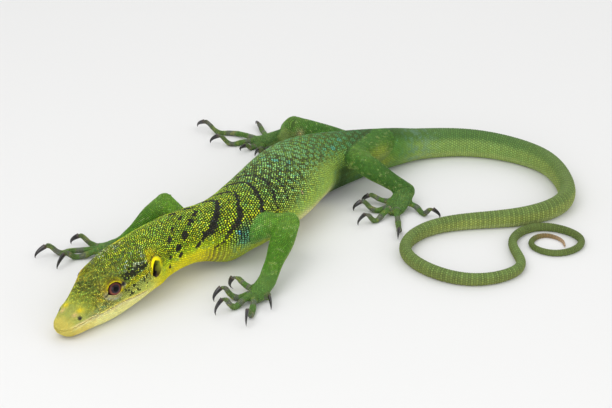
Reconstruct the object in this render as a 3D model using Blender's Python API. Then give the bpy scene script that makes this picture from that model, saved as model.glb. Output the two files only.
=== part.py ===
"""Emerald tree monitor, a still life-size model resting on a floor.

Metres, +Z up, +Y away from the viewer and +X to the viewer's right. The snout points to the lower
left. Every place below is on one layout plan whose origin is later moved to the middle of the
animal's own box, on the floor. The body is swept along the spine, the legs along their bones.
"""

import math

import bmesh
import bpy
import numpy as np
from mathutils import Vector

# Gaps and facets
SHARP_DEGREES = 40.0
GAP = 0.0003
SINK = 0.00035
BODY_SIDES = 24
TAIL_SIDES = 12
LIMB_SIDES = 12
DIGIT_SIDES = 6
CLAW_SIDES = 5

# The spine on the plan, from the snout to the vent: places x, y and height z.
HEAD_LENGTH = 0.0500
SNOUT = (-0.1058, -0.1332, 0.0045)
EAR_LEVEL = (-0.0758, -0.0905, 0.0150)
NECK_AND_TRUNK = (
    (-0.0675, -0.0800, 0.0162),
    (-0.0560, -0.0692, 0.0170),
    (-0.0410, -0.0592, 0.0168),
    (-0.0272, -0.0424, 0.0172),
    (-0.0125, -0.0127, 0.0168),
    (-0.0008, 0.0100, 0.0160),
    (0.0154, 0.0254, 0.0143),
    (0.0327, 0.0390, 0.0123),
    (0.0469, 0.0487, 0.0105),
)
# The tail's middle line on the floor, from behind the vent to the tip of its coil.
TAIL = (
    (0.0619, 0.0572),
    (0.0897, 0.0606),
    (0.1108, 0.0534),
    (0.1267, 0.0395),
    (0.1345, 0.0160),
    (0.1312, -0.0085),
    (0.1113, -0.0219),
    (0.0860, -0.0270),
    (0.0606, -0.0357),
    (0.0473, -0.0573),
    (0.0617, -0.0812),
    (0.0797, -0.0853),
    (0.0996, -0.0706),
    (0.0998, -0.0462),
    (0.1172, -0.0310),
    (0.1326, -0.0445),
    (0.1184, -0.0577),
    (0.1088, -0.0471),
    (0.1192, -0.0382),
    (0.1247, -0.0475),
)
# Sections of head, trunk and tail: distance from the snout, half width, rise above and drop below
# the middle line, and how square the outline is, 2 being an ellipse.
SECTIONS = (
    (0.0000, 0.0010, 0.0010, 0.0010, 2.0),
    (0.0008, 0.0030, 0.0024, 0.0026, 2.1),
    (0.0030, 0.0051, 0.0037, 0.0044, 2.4),
    (0.0070, 0.0066, 0.0048, 0.0058, 2.6),
    (0.0120, 0.0078, 0.0058, 0.0068, 2.7),
    (0.0200, 0.0100, 0.0080, 0.0088, 2.8),
    (0.0285, 0.0115, 0.0099, 0.0104, 2.9),
    (0.0380, 0.0132, 0.0105, 0.0110, 2.7),
    (0.0480, 0.0141, 0.0110, 0.0114, 2.4),
    (0.0560, 0.0139, 0.0115, 0.0117, 2.3),
    (0.0640, 0.0135, 0.0119, 0.0121, 2.2),
    (0.0720, 0.0131, 0.0122, 0.0124, 2.1),
    (0.0800, 0.0130, 0.0124, 0.0127, 2.1),
    (0.0900, 0.0137, 0.0128, 0.0132, 2.0),
    (0.1040, 0.0160, 0.0142, 0.0149, 2.0),
    (0.1220, 0.0184, 0.0156, 0.0163, 2.0),
    (0.1400, 0.0199, 0.0164, 0.0174, 2.0),
    (0.1560, 0.0207, 0.0168, 0.0178, 2.0),
    (0.1720, 0.0200, 0.0164, 0.0175, 2.0),
    (0.1880, 0.0180, 0.0152, 0.0162, 2.0),
    (0.2050, 0.0152, 0.0138, 0.0144, 2.0),
    (0.2250, 0.0115, 0.0120, 0.0124, 2.0),
    (0.2420, 0.0091, 0.0105, 0.0107, 2.0),
    (0.2600, 0.0075, 0.0089, 0.0089, 2.0),
    (0.2870, 0.0062, 0.0082, 0.0082, 2.0),
    (0.3310, 0.0052, 0.0070, 0.0070, 2.0),
    (0.3820, 0.0043, 0.0056, 0.0056, 2.0),
    (0.4310, 0.0035, 0.0044, 0.0044, 2.0),
    (0.4830, 0.0029, 0.0037, 0.0037, 2.0),
    (0.5300, 0.0025, 0.0031, 0.0031, 2.0),
    (0.5800, 0.0021, 0.0025, 0.0025, 2.0),
    (0.6260, 0.0017, 0.0019, 0.0019, 2.0),
    (0.6600, 0.0014, 0.0015, 0.0015, 2.0),
    (0.6800, 0.0009, 0.0010, 0.0010, 2.0),
    (0.6880, 0.0004, 0.0005, 0.0005, 2.0),
)
# Swellings of the head: distance from the snout, angle up from the side in degrees, height, and
# how far each reaches along and round. They stand alike on both sides.
SWELLINGS = (
    (0.0285, 46.0, 0.0009, 0.0065, 15.0),
    (0.0285, 16.0, -0.0007, 0.0050, 16.0),
    (0.0190, 14.0, -0.0010, 0.0050, 20.0),
    (0.0100, 30.0, 0.0006, 0.0028, 22.0),
    (0.0430, -20.0, 0.0006, 0.0070, 22.0),
    (0.0430, 32.0, 0.0005, 0.0070, 20.0),
    (0.0600, -5.0, -0.0006, 0.0050, 30.0),
)
# Where the body is parted: distance from the snout.
PARTINGS = {
    "neck": (0.0555, 0.0900),
    "chest": (0.0900, 0.1300),
    "belly": (0.1300, 0.1880),
    "pelvis": (0.1880, 0.2400),
}
TAIL_PARTINGS = (
    0.2400, 0.2820, 0.3240, 0.3540, 0.3860, 0.4200, 0.4600, 0.4880,
    0.5140, 0.5420, 0.5660, 0.5920, 0.6160, 0.6400,
)
RING_STEPS = {"head": 0.0021, "trunk": 0.0062, "tail": 0.0056}
COIL_STEP = 0.0040

# Head openings, from the snout along the head's axis, out to the side and up from the axis.
EYE_PLACE = (0.0281, 0.0072, 0.0048)
EYE_RADIUS = 0.0039
EYE_TURN = 20.0
EYE_TILT = 13.0
LID_RINGS = (0.0039, 0.0034)
LID_RADIUS = 0.0007
LID_OUT = 0.0025
NOSTRIL_PLACE = (0.0090, 0.0056, 0.0040)
NOSTRIL_SIZE = (0.0012, 0.0009, 0.0008)
EAR_PLACE = (0.0508, 0.0133, 0.0036)
EAR_SIZE = (0.0020, 0.0024, 0.0044)
EAR_LEAN = -22.0
MOUTH_LINE = ((-0.0040, 0.0004), (0.0030, 0.0006), (0.0080, 0.0008), (0.0140, 0.0002),
              (0.0200, -0.0006), (0.0280, -0.0010), (0.0360, -0.0022), (0.0440, -0.0036))
JAW_LENGTH = 0.0425
JAW_REACH = 0.0300

# Legs: root inside the trunk, middle joint, wrist or ankle, and the middle of the palm or sole.
LEGS = {
    "arm_left": ((-0.0400, -0.0585, 0.0138), (-0.0080, -0.0620, 0.0203),
                 (-0.0183, -0.0930, 0.0066), (-0.0222, -0.0995, 0.0028)),
    "arm_right": ((-0.0460, -0.0545, 0.0150), (-0.0678, -0.0362, 0.0192),
                  (-0.0890, -0.0535, 0.0064), (-0.0962, -0.0558, 0.0028)),
    "leg_left": ((0.0390, 0.0420, 0.0150), (0.0265, 0.0080, 0.0168),
                 (0.0520, -0.0010, 0.0070), (0.0452, -0.0100, 0.0030)),
    "leg_right": ((0.0270, 0.0400, 0.0128), (-0.0060, 0.0470, 0.0232),
                  (-0.0125, 0.0725, 0.0070), (-0.0255, 0.0725, 0.0030)),
}
# Radii at the root, in the upper muscle, at the middle joint, in the lower muscle and at the end.
LEG_RADII = {"arm": (0.0088, 0.0066, 0.0050, 0.0054, 0.0036),
             "leg": (0.0090, 0.0078, 0.0060, 0.0060, 0.0040)}
PALM_HALF = {"arm": (0.0049, 0.0030), "leg": (0.0056, 0.0032)}
ROUND_END = (0.5, 0.85, 0.98)
LIMB_STEP = 0.0052
BLOCK = 0.060
PARTS_OF = {"arm": ("upper_arm", "forearm", "hand"), "leg": ("thigh", "shin", "foot")}

# Digits, first to fifth: the joints from inside the palm to the claw's root, then the claw's tip.
DIGITS = {
    "hand_left": (
        ((-0.0250, -0.0955, 0.0040), (-0.0295, -0.0910, 0.0050), (-0.0320, -0.0902, 0.0064),
         (-0.0338, -0.0912, 0.0062), (-0.0352, -0.0925, 0.0004)),
        ((-0.0245, -0.0985, 0.0036), (-0.0315, -0.0990, 0.0018), (-0.0347, -0.0982, 0.0034),
         (-0.0372, -0.0990, 0.0060), (-0.0389, -0.0998, 0.0058), (-0.0412, -0.1010, 0.0003)),
        ((-0.0240, -0.1005, 0.0036), (-0.0290, -0.1045, 0.0024), (-0.0318, -0.1072, 0.0017),
         (-0.0342, -0.1078, 0.0034), (-0.0362, -0.1088, 0.0057), (-0.0378, -0.1099, 0.0055),
         (-0.0398, -0.1131, 0.0003)),
        ((-0.0228, -0.1010, 0.0036), (-0.0236, -0.1095, 0.0022), (-0.0242, -0.1142, 0.0017),
         (-0.0250, -0.1162, 0.0036), (-0.0256, -0.1178, 0.0056), (-0.0258, -0.1193, 0.0054),
         (-0.0260, -0.1225, 0.0003)),
        ((-0.0195, -0.0955, 0.0040), (-0.0181, -0.0985, 0.0018), (-0.0172, -0.1010, 0.0031),
         (-0.0166, -0.1035, 0.0047), (-0.0162, -0.1049, 0.0045), (-0.0156, -0.1083, 0.0003)),
    ),
    "hand_right": (
        ((-0.0945, -0.0580, 0.0038), (-0.0962, -0.0665, 0.0019), (-0.0968, -0.0695, 0.0034),
         (-0.0970, -0.0712, 0.0034), (-0.0978, -0.0745, 0.0003)),
        ((-0.0960, -0.0580, 0.0036), (-0.1015, -0.0650, 0.0018), (-0.1034, -0.0677, 0.0034),
         (-0.1040, -0.0695, 0.0035), (-0.1056, -0.0732, 0.0003)),
        ((-0.0965, -0.0565, 0.0036), (-0.1039, -0.0590, 0.0024), (-0.1095, -0.0600, 0.0017),
         (-0.1118, -0.0616, 0.0034), (-0.1133, -0.0643, 0.0050), (-0.1142, -0.0661, 0.0048),
         (-0.1165, -0.0705, 0.0003)),
        ((-0.0970, -0.0555, 0.0036), (-0.1063, -0.0553, 0.0026), (-0.1131, -0.0554, 0.0021),
         (-0.1175, -0.0558, 0.0017), (-0.1200, -0.0561, 0.0034), (-0.1226, -0.0568, 0.0051),
         (-0.1245, -0.0576, 0.0049), (-0.1286, -0.0595, 0.0003)),
        ((-0.0955, -0.0530, 0.0038), (-0.1025, -0.0480, 0.0018), (-0.1058, -0.0468, 0.0034),
         (-0.1086, -0.0464, 0.0051), (-0.1103, -0.0464, 0.0049), (-0.1135, -0.0452, 0.0003)),
    ),
    "foot_left": (
        ((0.0440, -0.0055, 0.0040), (0.0365, -0.0010, 0.0036), (0.0330, -0.0004, 0.0048),
         (0.0313, -0.0006, 0.0046), (0.0292, 0.0005, 0.0003)),
        ((0.0435, -0.0085, 0.0038), (0.0346, -0.0099, 0.0018), (0.0315, -0.0088, 0.0033),
         (0.0287, -0.0083, 0.0050), (0.0270, -0.0085, 0.0048), (0.0243, -0.0090, 0.0003)),
        ((0.0440, -0.0105, 0.0036), (0.0377, -0.0178, 0.0023), (0.0341, -0.0216, 0.0017),
         (0.0319, -0.0217, 0.0033), (0.0300, -0.0224, 0.0049), (0.0285, -0.0232, 0.0047),
         (0.0260, -0.0252, 0.0003)),
        ((0.0452, -0.0115, 0.0036), (0.0457, -0.0243, 0.0021), (0.0458, -0.0322, 0.0017),
         (0.0456, -0.0346, 0.0033), (0.0453, -0.0363, 0.0034), (0.0448, -0.0402, 0.0003)),
        ((0.0490, -0.0055, 0.0040), (0.0565, -0.0088, 0.0022), (0.0594, -0.0138, 0.0017),
         (0.0612, -0.0150, 0.0033), (0.0629, -0.0162, 0.0048), (0.0642, -0.0168, 0.0045),
         (0.0668, -0.0168, 0.0003)),
    ),
    "foot_right": (
        ((-0.0240, 0.0700, 0.0038), (-0.0252, 0.0640, 0.0018), (-0.0262, 0.0612, 0.0033),
         (-0.0268, 0.0596, 0.0034), (-0.0284, 0.0562, 0.0003)),
        ((-0.0262, 0.0712, 0.0038), (-0.0305, 0.0682, 0.0018), (-0.0328, 0.0668, 0.0033),
         (-0.0342, 0.0662, 0.0034), (-0.0368, 0.0648, 0.0003)),
        ((-0.0275, 0.0725, 0.0038), (-0.0363, 0.0742, 0.0022), (-0.0425, 0.0740, 0.0017),
         (-0.0454, 0.0750, 0.0034), (-0.0479, 0.0755, 0.0050), (-0.0497, 0.0757, 0.0048),
         (-0.0534, 0.0768, 0.0003)),
        ((-0.0270, 0.0740, 0.0038), (-0.0335, 0.0828, 0.0026), (-0.0385, 0.0872, 0.0020),
         (-0.0440, 0.0888, 0.0018), (-0.0496, 0.0901, 0.0017), (-0.0536, 0.0930, 0.0034),
         (-0.0570, 0.0951, 0.0051), (-0.0588, 0.0962, 0.0049), (-0.0623, 0.1003, 0.0003)),
        ((-0.0225, 0.0750, 0.0040), (-0.0232, 0.0850, 0.0026), (-0.0250, 0.0930, 0.0018),
         (-0.0268, 0.0985, 0.0026), (-0.0276, 0.1003, 0.0028), (-0.0290, 0.1042, 0.0003)),
    ),
}
DIGIT_RADII = (0.0021, 0.0014, 0.0013)
PAD_SWELL = 0.0003
PAD_SINK = 0.00035
CLAW_HALF = (0.0007, 0.0011)
CLAW_ARCH = 0.0024
DIGIT_STEP = 0.0021

# Colours of skin, throat, claws and eyes, as linear red, green and blue.
GREEN = (0.085, 0.230, 0.025)
DARK_GREEN = (0.050, 0.150, 0.030)
YELLOW_GREEN = (0.330, 0.400, 0.040)
CLAW_BLACK = (0.012, 0.011, 0.010)
EYE_BROWN = (0.070, 0.025, 0.015)


def eased(knots, values, at):
    """Values at the distances at, on monotone cubics through the knots, which never overshoot."""
    knots, values, at = (np.asarray(x, float) for x in (knots, values, at))
    gaps, rises = np.diff(knots), np.diff(values)
    slopes = rises / gaps
    tangents = np.empty_like(values)
    tangents[0], tangents[-1] = slopes[0], slopes[-1]
    before, after = slopes[:-1], slopes[1:]
    flat = before * after <= 0
    total = np.where(flat, 1.0, before + after)
    tangents[1:-1] = np.where(flat, 0.0, 2 * before * after / total)
    i = np.clip(np.searchsorted(knots, at, side="right") - 1, 0, len(knots) - 2)
    t = np.clip((at - knots[i]) / gaps[i], 0.0, 1.0)
    low, high = values[i], values[i + 1]
    first, last = tangents[i] * gaps[i], tangents[i + 1] * gaps[i]
    return (low * (1 + 2 * t) * (1 - t) ** 2 + first * t * (1 - t) ** 2
            + high * t * t * (3 - 2 * t) + last * t * t * (t - 1))


def unit(vectors):
    """The vectors at length 1, one to a row."""
    vectors = np.asarray(vectors, float)
    return vectors / np.linalg.norm(vectors, axis=-1, keepdims=True)


def natural_curve(points):
    """A smooth curve through the points: a function of the distance along it, and its length."""
    points = np.asarray(points, float)
    knots = np.concatenate([[0.0], np.cumsum(np.linalg.norm(np.diff(points, axis=0), axis=1))])
    gaps = np.diff(knots)
    count = len(points)
    system = np.eye(count)
    right = np.zeros((count, 3))
    for i in range(1, count - 1):
        system[i, i - 1: i + 2] = gaps[i - 1], 2 * (gaps[i - 1] + gaps[i]), gaps[i]
        right[i] = 6 * ((points[i + 1] - points[i]) / gaps[i]
                        - (points[i] - points[i - 1]) / gaps[i - 1])
    bends = np.linalg.solve(system, right)

    def at(distance):
        distance = np.clip(distance, 0.0, knots[-1])
        i = np.clip(np.searchsorted(knots, distance, side="right") - 1, 0, count - 2)
        gap = gaps[i][:, None]
        a = (knots[i + 1] - distance)[:, None]
        b = (distance - knots[i])[:, None]
        return (bends[i] * a**3 / (6 * gap) + bends[i + 1] * b**3 / (6 * gap)
                + (points[i] / gap - bends[i] * gap / 6) * a
                + (points[i + 1] / gap - bends[i + 1] * gap / 6) * b)

    return at, knots[-1]


def section_sizes(distance):
    """Half width, rise, drop and squareness of the body at these distances from the snout."""
    table = np.array(SECTIONS)
    return [eased(table[:, 0], table[:, k], distance) for k in range(1, 5)]


def spine_points():
    """The plan's points for the spine, each tail point at the height at which the tail lies."""
    head = [SNOUT, EAR_LEVEL]
    middle = tuple((a + b) / 2 for a, b in zip(SNOUT, EAR_LEVEL))
    points = [head[0], middle, head[1], *NECK_AND_TRUNK]
    run = sum(math.dist(a, b) for a, b in zip(points[:-1], points[1:]))
    last = points[-1]
    for x, y in TAIL:
        run += math.dist(last[:2], (x, y))
        drop = section_sizes(np.array([run]))[2][0]
        last = (x, y, drop - SINK)
        points.append(last)
    return points


SPINE, SPINE_LENGTH = natural_curve(spine_points())
TANGENT_STEP = 0.0004


def frames_along(curve, distance, level=(0.0, 0.0, 1.0)):
    """Places, tangents, sides and ups along a curve. The side is level, on the animal's left."""
    places = curve(distance)
    tangents = unit(curve(distance + TANGENT_STEP) - curve(distance - TANGENT_STEP))
    sides = unit(np.cross(tangents, np.broadcast_to(level, tangents.shape)))
    ups = np.cross(sides, tangents)
    return places, tangents, sides, ups


def swelling(distance, angle):
    """How far the head stands out at each distance and angle, by the list of swellings."""
    total = np.zeros(np.broadcast(distance, angle).shape)
    for at, degrees, height, along, round_ in SWELLINGS:
        over = np.degrees(np.arctan2(np.sin(angle), np.abs(np.cos(angle))))
        total += height * np.exp(-((distance - at) / along) ** 2 - ((over - degrees) / round_) ** 2)
    return total


def body_rings(distance, count, extra=0.0):
    """Rings of points round the body at these distances, each larger by extra all round."""
    places, _, sides, ups = frames_along(SPINE, distance)
    width, rise, drop, square = (x[:, None] for x in section_sizes(distance))
    angle = (np.arange(count) + 0.5)[None, :] * 2 * math.pi / count
    cos, sin = np.cos(angle), np.sin(angle)
    out = swelling(distance[:, None], angle) + extra
    across = np.sign(cos) * np.abs(cos) ** (2 / square) * width + cos * out
    upward = np.sign(sin) * np.abs(sin) ** (2 / square) * np.where(sin > 0, rise, drop) + sin * out
    return (places[:, None] + across[..., None] * sides[:, None]
            + upward[..., None] * ups[:, None])


def round_rings(places, sides, ups, half_widths, half_heights, count, turn=0.5):
    """Rings of points on ellipses about the places, the first point turned by a share of a step."""
    angle = (np.arange(count) + turn)[None, :] * 2 * math.pi / count
    across = np.cos(angle) * np.asarray(half_widths)[:, None]
    upward = np.sin(angle) * np.asarray(half_heights)[:, None]
    return (places[:, None] + across[..., None] * sides[:, None]
            + upward[..., None] * ups[:, None])


def new_object(name, points, faces, colour, roughness=0.5):
    """A named object with a closed mesh whose faces point out, and a material of its own."""
    mesh = bpy.data.meshes.new(name)
    mesh.from_pydata([tuple(p) for p in points], [], faces)
    work = bmesh.new()
    work.from_mesh(mesh)
    bmesh.ops.recalc_face_normals(work, faces=work.faces)
    work.to_mesh(mesh)
    work.free()
    thing = bpy.data.objects.new(name, mesh)
    bpy.context.scene.collection.objects.link(thing)
    mesh.materials.append(material_for(name, colour, roughness))
    return thing


def material_for(name, colour, roughness):
    """A plain material in this colour."""
    material = bpy.data.materials.new(name)
    material.use_nodes = True
    shader = material.node_tree.nodes["Principled BSDF"]
    shader.inputs["Base Color"].default_value = (*colour, 1.0)
    shader.inputs["Roughness"].default_value = roughness
    shader.inputs["Metallic"].default_value = 0.0
    return material


def skinned(name, rings, colour, on_floor=True):
    """A closed solid from rings of points, with a flat lid at each end, kept above the floor."""
    rings = np.array(rings)
    if on_floor:
        rings[..., 2] = np.maximum(rings[..., 2], 0.0)
    count, round_ = rings.shape[:2]
    faces = []
    for i in range(count - 1):
        for j in range(round_):
            k = (j + 1) % round_
            faces.append((i * round_ + j, i * round_ + k,
                          (i + 1) * round_ + k, (i + 1) * round_ + j))
    faces.append(tuple(range(round_)))
    faces.append(tuple((count - 1) * round_ + j for j in range(round_)))
    return new_object(name, rings.reshape(-1, 3), faces, colour)


def combine(target, operation, others):
    """Applies one Boolean of the other closed meshes to the target, and removes them."""
    group = bpy.data.collections.new(target.name + "_pieces")
    bpy.context.scene.collection.children.link(group)
    for other in others:
        for holder in list(other.users_collection):
            holder.objects.unlink(other)
        group.objects.link(other)
    step = target.modifiers.new("combine", "BOOLEAN")
    step.operation = operation
    step.operand_type = "COLLECTION"
    step.collection = group
    step.solver = "EXACT"
    step.use_self = operation == "UNION"
    apply_modifiers(target)
    for other in others:
        bpy.data.objects.remove(other)
    bpy.data.collections.remove(group)
    keep_largest(target)
    return target


def apply_modifiers(thing):
    """Replaces the object's mesh by the one that its modifiers make."""
    bpy.context.view_layer.update()
    graph = bpy.context.evaluated_depsgraph_get()
    made = bpy.data.meshes.new_from_object(thing.evaluated_get(graph))
    thing.modifiers.clear()
    thing.data = made


def keep_largest(thing):
    """Drops all but the largest closed surface of a mesh, and welds near points."""
    work = bmesh.new()
    work.from_mesh(thing.data)
    bmesh.ops.remove_doubles(work, verts=work.verts, dist=2e-6)
    bmesh.ops.triangulate(work, faces=work.faces)
    left = set(work.faces)
    shells = []
    while left:
        seed = left.pop()
        shell, edge = {seed}, [seed]
        while edge:
            for side in edge.pop().edges:
                for face in side.link_faces:
                    if face in left:
                        left.remove(face)
                        shell.add(face)
                        edge.append(face)
        shells.append(shell)
    largest = max(shells, key=len)
    bmesh.ops.delete(work, geom=[f for f in work.faces if f not in largest], context="FACES")
    work.to_mesh(thing.data)
    work.free()


def between(start, end, step):
    """Even distances from start to end, at most step apart."""
    return np.linspace(start, end, max(2, math.ceil((end - start) / step) + 1))


def head_axes():
    """The head's own axes at the snout: back along the head, out to the left, and up."""
    back = unit(np.subtract(EAR_LEVEL, SNOUT))
    left = unit(np.cross(back, (0.0, 0.0, 1.0)))
    return back, left, np.cross(left, back)


def on_head(along, out, up):
    """A place given from the snout in the head's own axes."""
    back, left, top = head_axes()
    return np.asarray(SNOUT) + back * along + left * out + top * up


def ball(name, centre, axes, sizes, colour, rings=8, sides=12):
    """An ellipsoid about centre, with half sizes along three axes."""
    work = bmesh.new()
    bmesh.ops.create_uvsphere(work, u_segments=sides, v_segments=rings, radius=1.0)
    turn = np.array(axes).T * np.array(sizes)
    points = [np.asarray(centre) + turn @ np.array(v.co) for v in work.verts]
    faces = [tuple(v.index for v in f.verts) for f in work.faces]
    work.free()
    return new_object(name, points, faces, colour, roughness=0.15)


def lid_ring(name, side):
    """The swollen rim of the eyelids, a closed ring about the eye, facing ahead and upward."""
    back, left, top = head_axes()
    turn, tilt = math.radians(EYE_TURN), math.radians(EYE_TILT)
    level = left * side * math.cos(turn) - back * math.sin(turn)
    long_way = back * math.cos(turn) + left * side * math.sin(turn)
    high_way = top * math.cos(tilt) - level * math.sin(tilt)
    out = level * math.cos(tilt) + top * math.sin(tilt)
    centre = on_head(EYE_PLACE[0], side * EYE_PLACE[1], EYE_PLACE[2]) + out * LID_OUT
    turns, round_ = 20, 7
    points, faces = [], []
    for i in range(turns):
        a = 2 * math.pi * i / turns
        outward = long_way * math.cos(a) * LID_RINGS[0] + high_way * math.sin(a) * LID_RINGS[1]
        for j in range(round_):
            b = 2 * math.pi * j / round_
            points.append(centre + outward * (1 + LID_RADIUS / LID_RINGS[0] * math.cos(b))
                          + out * LID_RADIUS * math.sin(b))
    for i in range(turns):
        for j in range(round_):
            p, q = (i + 1) % turns, (j + 1) % round_
            faces.append((i * round_ + j, p * round_ + j, p * round_ + q, i * round_ + q))
    return new_object(name, points, faces, GREEN)


def jaw_block(name, clearance):
    """The space of the lower jaw: all below the mouth line and ahead of the jaw's corner."""
    knots = np.array(MOUTH_LINE)
    along = between(-0.0040, JAW_LENGTH + clearance, 0.0030)
    level = eased(knots[:, 0], knots[:, 1], along) + clearance
    rings = []
    for a, h in zip(along, level):
        rings.append([on_head(a, -JAW_REACH, h), on_head(a, JAW_REACH, h),
                      on_head(a, JAW_REACH, -JAW_REACH), on_head(a, -JAW_REACH, -JAW_REACH)])
    return skinned(name, rings, YELLOW_GREEN, on_floor=False)


def head_distances():
    """Ring places along the head, close at the blunt snout and even behind it."""
    end = PARTINGS["neck"][0] - GAP / 2
    blunt = np.array([0.0, 0.0004, 0.0010, 0.0019, 0.0031])
    return np.concatenate([blunt, between(0.0046, end, RING_STEPS["head"])])


def ear_cup(side):
    """The hollow of one ear, leaning back at its top."""
    back, left, top = head_axes()
    lean = math.radians(EAR_LEAN)
    long_way = top * math.cos(lean) + back * math.sin(lean)
    short_way = back * math.cos(lean) - top * math.sin(lean)
    place = on_head(EAR_PLACE[0], side * EAR_PLACE[1], EAR_PLACE[2])
    return ball("ear_cutter", place, (short_way, left, long_way), EAR_SIZE, GREEN, 6, 10)


def build_head():
    """The head with lids, nostrils and ears, the lower jaw that it parts from, and the eyes."""
    back, left, top = head_axes()
    rings = body_rings(head_distances(), BODY_SIDES)
    jaw = skinned("lower_jaw", rings, YELLOW_GREEN)
    combine(jaw, "INTERSECT", [jaw_block("jaw_cutter", -GAP / 2)])
    head = skinned("head", rings, GREEN)
    combine(head, "UNION", [lid_ring("lid", side) for side in (1, -1)])
    cutters = [jaw_block("jaw_cutter", GAP / 2)]
    for side in (1, -1):
        axes = (back, left, top)
        eye = on_head(EYE_PLACE[0], side * EYE_PLACE[1], EYE_PLACE[2])
        socket = (EYE_RADIUS + GAP,) * 3
        cutters.append(ball("socket", eye, axes, socket, GREEN, 12, 16))
        nostril = on_head(NOSTRIL_PLACE[0], side * NOSTRIL_PLACE[1], NOSTRIL_PLACE[2])
        cutters.append(ball("nostril", nostril, axes, NOSTRIL_SIZE, GREEN, 5, 8))
        cutters.append(ear_cup(side))
    for cutter in cutters:
        combine(head, "DIFFERENCE", [cutter])
    for side, word in ((1, "left"), (-1, "right")):
        eye = on_head(EYE_PLACE[0], side * EYE_PLACE[1], EYE_PLACE[2])
        ball("eye_" + word, eye, (back, left, top), (EYE_RADIUS,) * 3, EYE_BROWN, 10, 14)


def build_trunk():
    """Neck, chest, belly and pelvis, each a length of the body with flat ends."""
    for name, (start, end) in PARTINGS.items():
        distance = between(start + GAP / 2, end - GAP / 2, RING_STEPS["trunk"])
        skinned(name, body_rings(distance, BODY_SIDES), GREEN)


def build_tail():
    """The tail's lengths, numbered from the vent, the last with a blunt tip."""
    stops = [*TAIL_PARTINGS, SPINE_LENGTH]
    for number, (start, end) in enumerate(zip(stops[:-1], stops[1:]), 1):
        step = RING_STEPS["tail"] if start < TAIL_PARTINGS[8] else COIL_STEP
        distance = between(start + GAP / 2, end - GAP / 2, step)
        sides = BODY_SIDES if number == 1 else TAIL_SIDES
        skinned(f"tail_{number:02d}", body_rings(distance, sides), DARK_GREEN)


def trunk_cutter():
    """The trunk with the gap round it, which parts the legs from it."""
    distance = between(PARTINGS["neck"][0], TAIL_PARTINGS[1], RING_STEPS["trunk"])
    rings = body_rings(distance, BODY_SIDES, GAP * 1.2)
    return skinned("trunk_cutter", rings, GREEN, on_floor=False)


def rounded_tube(name, start, end, shares, wide, high):
    """A tube with round ends about start and end, of these half sizes at shares of its length."""
    start, end = np.asarray(start), np.asarray(end)
    length = np.linalg.norm(end - start)
    way = (end - start) / length
    side = unit(np.cross(way, (0.0, 0.0, 1.0)))
    up = np.cross(side, way)
    bow = np.array(ROUND_END)
    inner = between(0.0, 1.0, LIMB_STEP / length)
    places = np.concatenate([-bow[::-1] * wide[0], inner * length, length + bow * wide[-1]])
    shrink = np.sqrt(1 - bow**2)
    share = np.clip(places / length, 0.0, 1.0)
    scale = np.concatenate([shrink[::-1], np.ones(len(inner)), shrink])
    across = eased(shares, wide, share) * scale
    upward = eased(shares, high, share) * scale
    rings = round_rings(start + places[:, None] * way, np.tile(side, (len(places), 1)),
                        np.tile(up, (len(places), 1)), across, upward, LIMB_SIDES)
    return skinned(name, rings, GREEN)


def half_space(point, normal):
    """A large block that fills the side of the plane to which the normal points."""
    normal = unit(normal)
    side = unit(np.cross(normal, (0.3, 0.2, 1.0)))
    up = np.cross(side, normal)
    corners = [(-1, -1), (1, -1), (1, 1), (-1, 1)]
    rings = [[point + normal * depth + (side * a + up * b) * BLOCK for a, b in corners]
             for depth in (0.0, BLOCK)]
    return skinned("half_space", rings, GREEN, on_floor=False)


def part_at_joint(first, second, joint, before, after):
    """Cuts two lengths that meet at a joint, by a thin slab across the way they turn."""
    across = unit(after - joint) + unit(joint - before)
    across = unit(across)
    combine(first, "DIFFERENCE", [half_space(joint - across * GAP / 2, across)])
    combine(second, "DIFFERENCE", [half_space(joint + across * GAP / 2, -across)])


def build_leg(name, cutter):
    """One leg: upper length, lower length, and the hand or foot with its digits."""
    kind, word = name.split("_")
    root, joint, end, palm = (np.array(p) for p in LEGS[name])
    names = [f"{part}_{word}" for part in PARTS_OF[kind]]
    top, muscle, middle, low, last = LEG_RADII[kind]
    wide, high = PALM_HALF[kind]
    upper = rounded_tube(names[0], root, joint, (0.0, 0.5, 1.0), (top, muscle, middle),
                         (top, muscle, middle))
    lower = rounded_tube(names[1], joint, end, (0.0, 0.3, 0.75, 1.0), (middle, low, last, last),
                         (middle, low, last, last))
    hand = rounded_tube(names[2], end, palm, (0.0, 0.6, 1.0), (last, wide, wide),
                        (last, high, high))
    digits = [build_digit(names[2], number, joints)
              for number, joints in enumerate(DIGITS[names[2]], 1)]
    combine(hand, "UNION", digits)
    part_at_joint(upper, lower, joint, root, end)
    part_at_joint(lower, hand, end, joint, palm)
    copy = cutter.copy()
    copy.data = cutter.data.copy()
    bpy.context.scene.collection.objects.link(copy)
    combine(upper, "DIFFERENCE", [copy])


def digit_frames(curve, distance, across):
    """Frames along a digit, whose side stays level and square to the digit's plane."""
    places = curve(distance)
    tangents = unit(curve(distance + TANGENT_STEP) - curve(distance - TANGENT_STEP))
    sides = unit(across - tangents * (tangents @ across)[:, None])
    return places, tangents, sides, np.cross(sides, tangents)


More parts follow.
